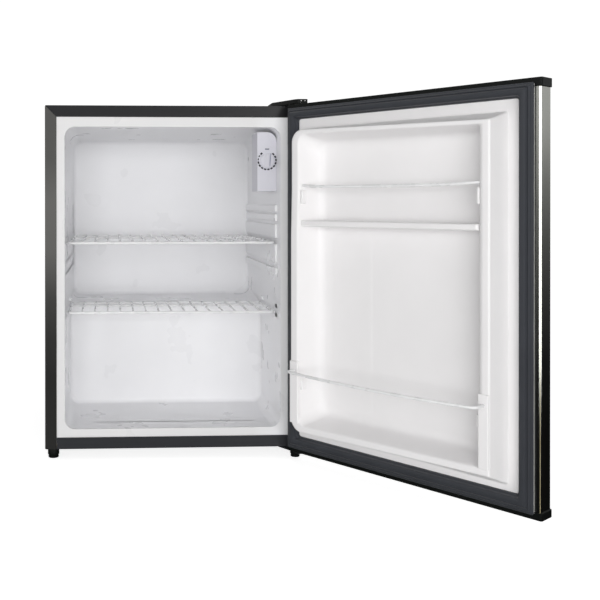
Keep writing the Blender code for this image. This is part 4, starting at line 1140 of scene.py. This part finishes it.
def screw_head(radius, sunk, proud, at):
    """Pan head that faces the front."""
    profile = [
        (0, -sunk), (radius, -sunk), (radius, 0.4 * proud), (0.9 * radius, 0.75 * proud),
        (0.6 * radius, proud), (0, proud),
    ]
    return placed(turned(profile, 20), at, math.pi / 2, "X")


def build_foot(name, node, body):
    """Moulded foot: a knurled skirt over a flat pad; the foot by the hinge has a lower skirt."""
    low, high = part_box(node)
    radius = (high.x - low.x) / 2
    at = ((low.x + high.x) / 2, (low.y + high.y) / 2, 0)
    top = 17.6 * MM if high.z > 17 * MM else high.z
    if node == "foot_front_right":
        top = 14.8 * MM
    profile = [
        (0, low.z), (radius * 0.82, low.z), (radius * 0.9, low.z + 0.8 * MM),
        (radius * 0.9, low.z + 3.2 * MM), (radius * 0.8, low.z + 4 * MM),
        (radius * 0.8, low.z + 4.6 * MM), (radius, low.z + 5.6 * MM),
        (radius, top - 1 * MM), (radius * 0.94, top), (0, top),
    ]
    bm = turned(profile, 72)
    for vert in bm.verts:
        if vert.co.z > low.z + 5 * MM and vert.co.xy.length > 0.85 * radius:
            angle = math.atan2(vert.co.y, vert.co.x)
            pinch = 1 - 0.035 * (0.5 + 0.5 * math.cos(18 * angle))
            vert.co.x *= pinch
            vert.co.y *= pinch
    bmesh.ops.translate(bm, vec=at, verts=bm.verts)
    foot = to_object(name, bm, 40)
    slot = "rubber" if "rear" in node else "black_plastic"
    dress(foot, BLACK_RUBBER if "rear" in node else BLACK_PLASTIC, body, slot, node)


# CAD nodes that keep their shape --------------------------------------------------

# node: its material and the width in millimetres of the rounding on its edges
KEPT = {
    # the front rail takes the lighter copy of the black paint: painted light
    "front_rail": (RAIL_PAINTED_LIGHT, 0.35),
    "back_panel": (BLACK_PAINT, 0.3),
    "base_plate": (ZINC, 0.3),
    "compressor_base": (ZINC, 0.4),
    "bottom_hinge_bracket": (BLACK_PAINT, 0.4),
    "top_hinge_bracket": (ZINC, 0.3),
    "compressor": (ENAMEL, 0),
    "relay_cover": (BLACK_PLASTIC, 0),
    "drip_tray": (TRAY_PLASTIC, 0.6),
    "cabinet_foam": (FOAM, 0),
    "door_foam": (FOAM, 0),
    "evaporator_plate": (ALUMINIUM, 0.2),
    "cord_gland": (BLACK_RUBBER, 0.4),
    "thermostat_body": (ZINC, 0.4),
    "upper_hinge_bush": (GREY_PLASTIC, 0.3),
    "lower_hinge_bush": (GREY_PLASTIC, 0.3),
}
for tube in ("condenser_left", "condenser_right", "discharge_line", "suction_line", "filter_drier"):
    KEPT[tube] = (COPPER, 0)
for end in ("top", "bottom"):
    KEPT[f"{end}_hinge_pin"] = (SCREW_STEEL, 0.4)
    KEPT[f"{end}_hinge_screw_1"] = (SCREW_STEEL, 0.5)
    KEPT[f"{end}_hinge_screw_2"] = (SCREW_STEEL, 0.5)
for number in range(1, 5):
    KEPT[f"grommet_{number}"] = (BLACK_RUBBER, 0.6)
    KEPT[f"compressor_bolt_{number}"] = (ZINC, 0.5)


def dress_kept_nodes():
    for node, (material, width) in KEPT.items():
        thing = NODES[node]
        thing.data.materials.clear()
        thing.data.materials.append(material)
        if width:
            soften(thing, width * MM, 2)
            even_normals(thing)


# Scene --------------------------------------------------------------------------


def build_camera():
    lens = bpy.data.cameras.new("camera")
    lens.sensor_width = 36
    lens.lens = 52.354
    lens.shift_x = 0.25
    lens.shift_y = -0.157
    camera = bpy.data.objects.new("camera", lens)
    camera.location = (-0.1071, -1.5159, 0.4447)
    camera.rotation_euler = [math.radians(a) for a in (89.812, 0.035, -2.516)]
    SCENE.collection.objects.link(camera)
    SCENE.camera = camera


def build_floor():
    bm = bmesh.new()
    bmesh.ops.create_grid(bm, x_segments=2, y_segments=2, size=6)
    floor = to_object("floor", bm)
    floor.location = (0, 0, CAD_BOX[0][2] - 0.2 * MM)
    look = Surface("floor", (0.93, 0.93, 0.93), 0.6, specular=0.2)
    look.tint(look.noise(3, 3), (0.92, 0.92, 0.92), (0.94, 0.94, 0.94))
    look.set("Emission Color", (1, 1, 1, 1))
    look.set("Emission Strength", 0.78)
    floor.data.materials.append(look.material)
    floor.visible_glossy = False
    floor.visible_diffuse = False


def area_light(name, at, target, size, power):
    light = bpy.data.lights.new(name, "AREA")
    light.shape = "RECTANGLE"
    light.size, light.size_y = size
    light.energy = power
    lamp = bpy.data.objects.new(name, light)
    lamp.location = at
    direction = Vector(target) - Vector(at)
    lamp.rotation_euler = direction.to_track_quat("-Z", "Y").to_euler()
    SCENE.collection.objects.link(lamp)
    return lamp


def background(world, rgb, strength):
    node = world.node_tree.nodes.new("ShaderNodeBackground")
    node.inputs["Color"].default_value = (*rgb, 1)
    node.inputs["Strength"].default_value = strength
    return node


MIRRORED_STEPS = (
    # height of the direction, brightness seen in reflections
    (-0.36, 0.008),
    (-0.22, 0.006),
    (-0.16, 0.012),
    (-0.10, 0.05),
    (-0.03, 0.13),
    (0.02, 0.27),
    (0.08, 0.62),
    (0.22, 0.70),
)
AROUND_STEPS = (
    # height of the direction, brightness that falls on matt surfaces
    (-0.2, 0.56),
    (0.2, 0.20),
)


def build_lights():
    """White backdrop, dim even surroundings, a gradient for reflections and soft boxes in front."""
    world = bpy.data.worlds.new("studio")
    SCENE.world = world
    world.use_nodes = True
    nodes, links = world.node_tree.nodes, world.node_tree.links
    nodes.remove(nodes["Background"])
    backdrop = background(world, (1, 1, 1), 1.05)
    around = background(world, (1, 1, 1), 1.0)
    mirrored = background(world, (1, 1, 1), 1.0)
    place = nodes.new("ShaderNodeTexCoord")
    split = nodes.new("ShaderNodeSeparateXYZ")
    links.new(place.outputs["Generated"], split.inputs["Vector"])
    spread = nodes.new("ShaderNodeMapRange")
    spread.inputs["From Min"].default_value = -0.5
    spread.inputs["From Max"].default_value = 0.5
    links.new(split.outputs["Z"], spread.inputs["Value"])
    for node, steps in ((mirrored, MIRRORED_STEPS), (around, AROUND_STEPS)):
        ramp = nodes.new("ShaderNodeValToRGB")
        links.new(spread.outputs["Result"], ramp.inputs["Fac"])
        set_steps(ramp, [(height + 0.5, (level, level, level)) for height, level in steps])
        links.new(ramp.outputs["Color"], node.inputs["Color"])
    path = nodes.new("ShaderNodeLightPath")
    unseen = nodes.new("ShaderNodeMixShader")
    links.new(path.outputs["Is Glossy Ray"], unseen.inputs["Fac"])
    links.new(around.outputs["Background"], unseen.inputs[1])
    links.new(mirrored.outputs["Background"], unseen.inputs[2])
    seen = nodes.new("ShaderNodeMixShader")
    links.new(path.outputs["Is Camera Ray"], seen.inputs["Fac"])
    links.new(unseen.outputs["Shader"], seen.inputs[1])
    links.new(backdrop.outputs["Background"], seen.inputs[2])
    links.new(seen.outputs["Shader"], nodes["World Output"].inputs["Surface"])
    key = area_light("key_soft_box", (-0.05, -2.7, 0.45), (0.0, 0.2, 0.36), (1.5, 0.85), 34)
    key.visible_glossy = False
    area_light("fill_soft_box", (-1.7, -2.0, 0.8), (0.35, -0.25, 0.33), (1.4, 1.4), 10)
    area_light("rim_soft_box", (0.93, -2.5, 0.45), (0.3, 0.0, 0.35), (0.4, 1.3), 7)


def build_all():
    build_cabinet_shell()
    build_food_liner()
    build_thermostat()
    build_shelf("shelf_upper", "upper_shelf")
    build_shelf("shelf_lower", "lower_shelf")
    build_door_skin()
    build_door_cap("door_cap_top", "door_top_cap", 1)
    build_door_cap("door_cap_bottom", "door_bottom_cap", -1)
    build_door_liner()
    build_door_seal()
    build_bin_rails()
    build_hinge_cover()
    build_foot("level_foot_left", "foot_front_left", "foot_front_left")
    build_foot("level_foot_right", "foot_front_right", "foot_front_right")
    build_foot("rear_foot_left", "foot_rear_left", "cabinet")
    build_foot("rear_foot_right", "foot_rear_right", "cabinet")
    dress_kept_nodes()
    build_camera()
    build_floor()
    build_lights()


SCENE.view_settings.view_transform = "Standard"
build_all()
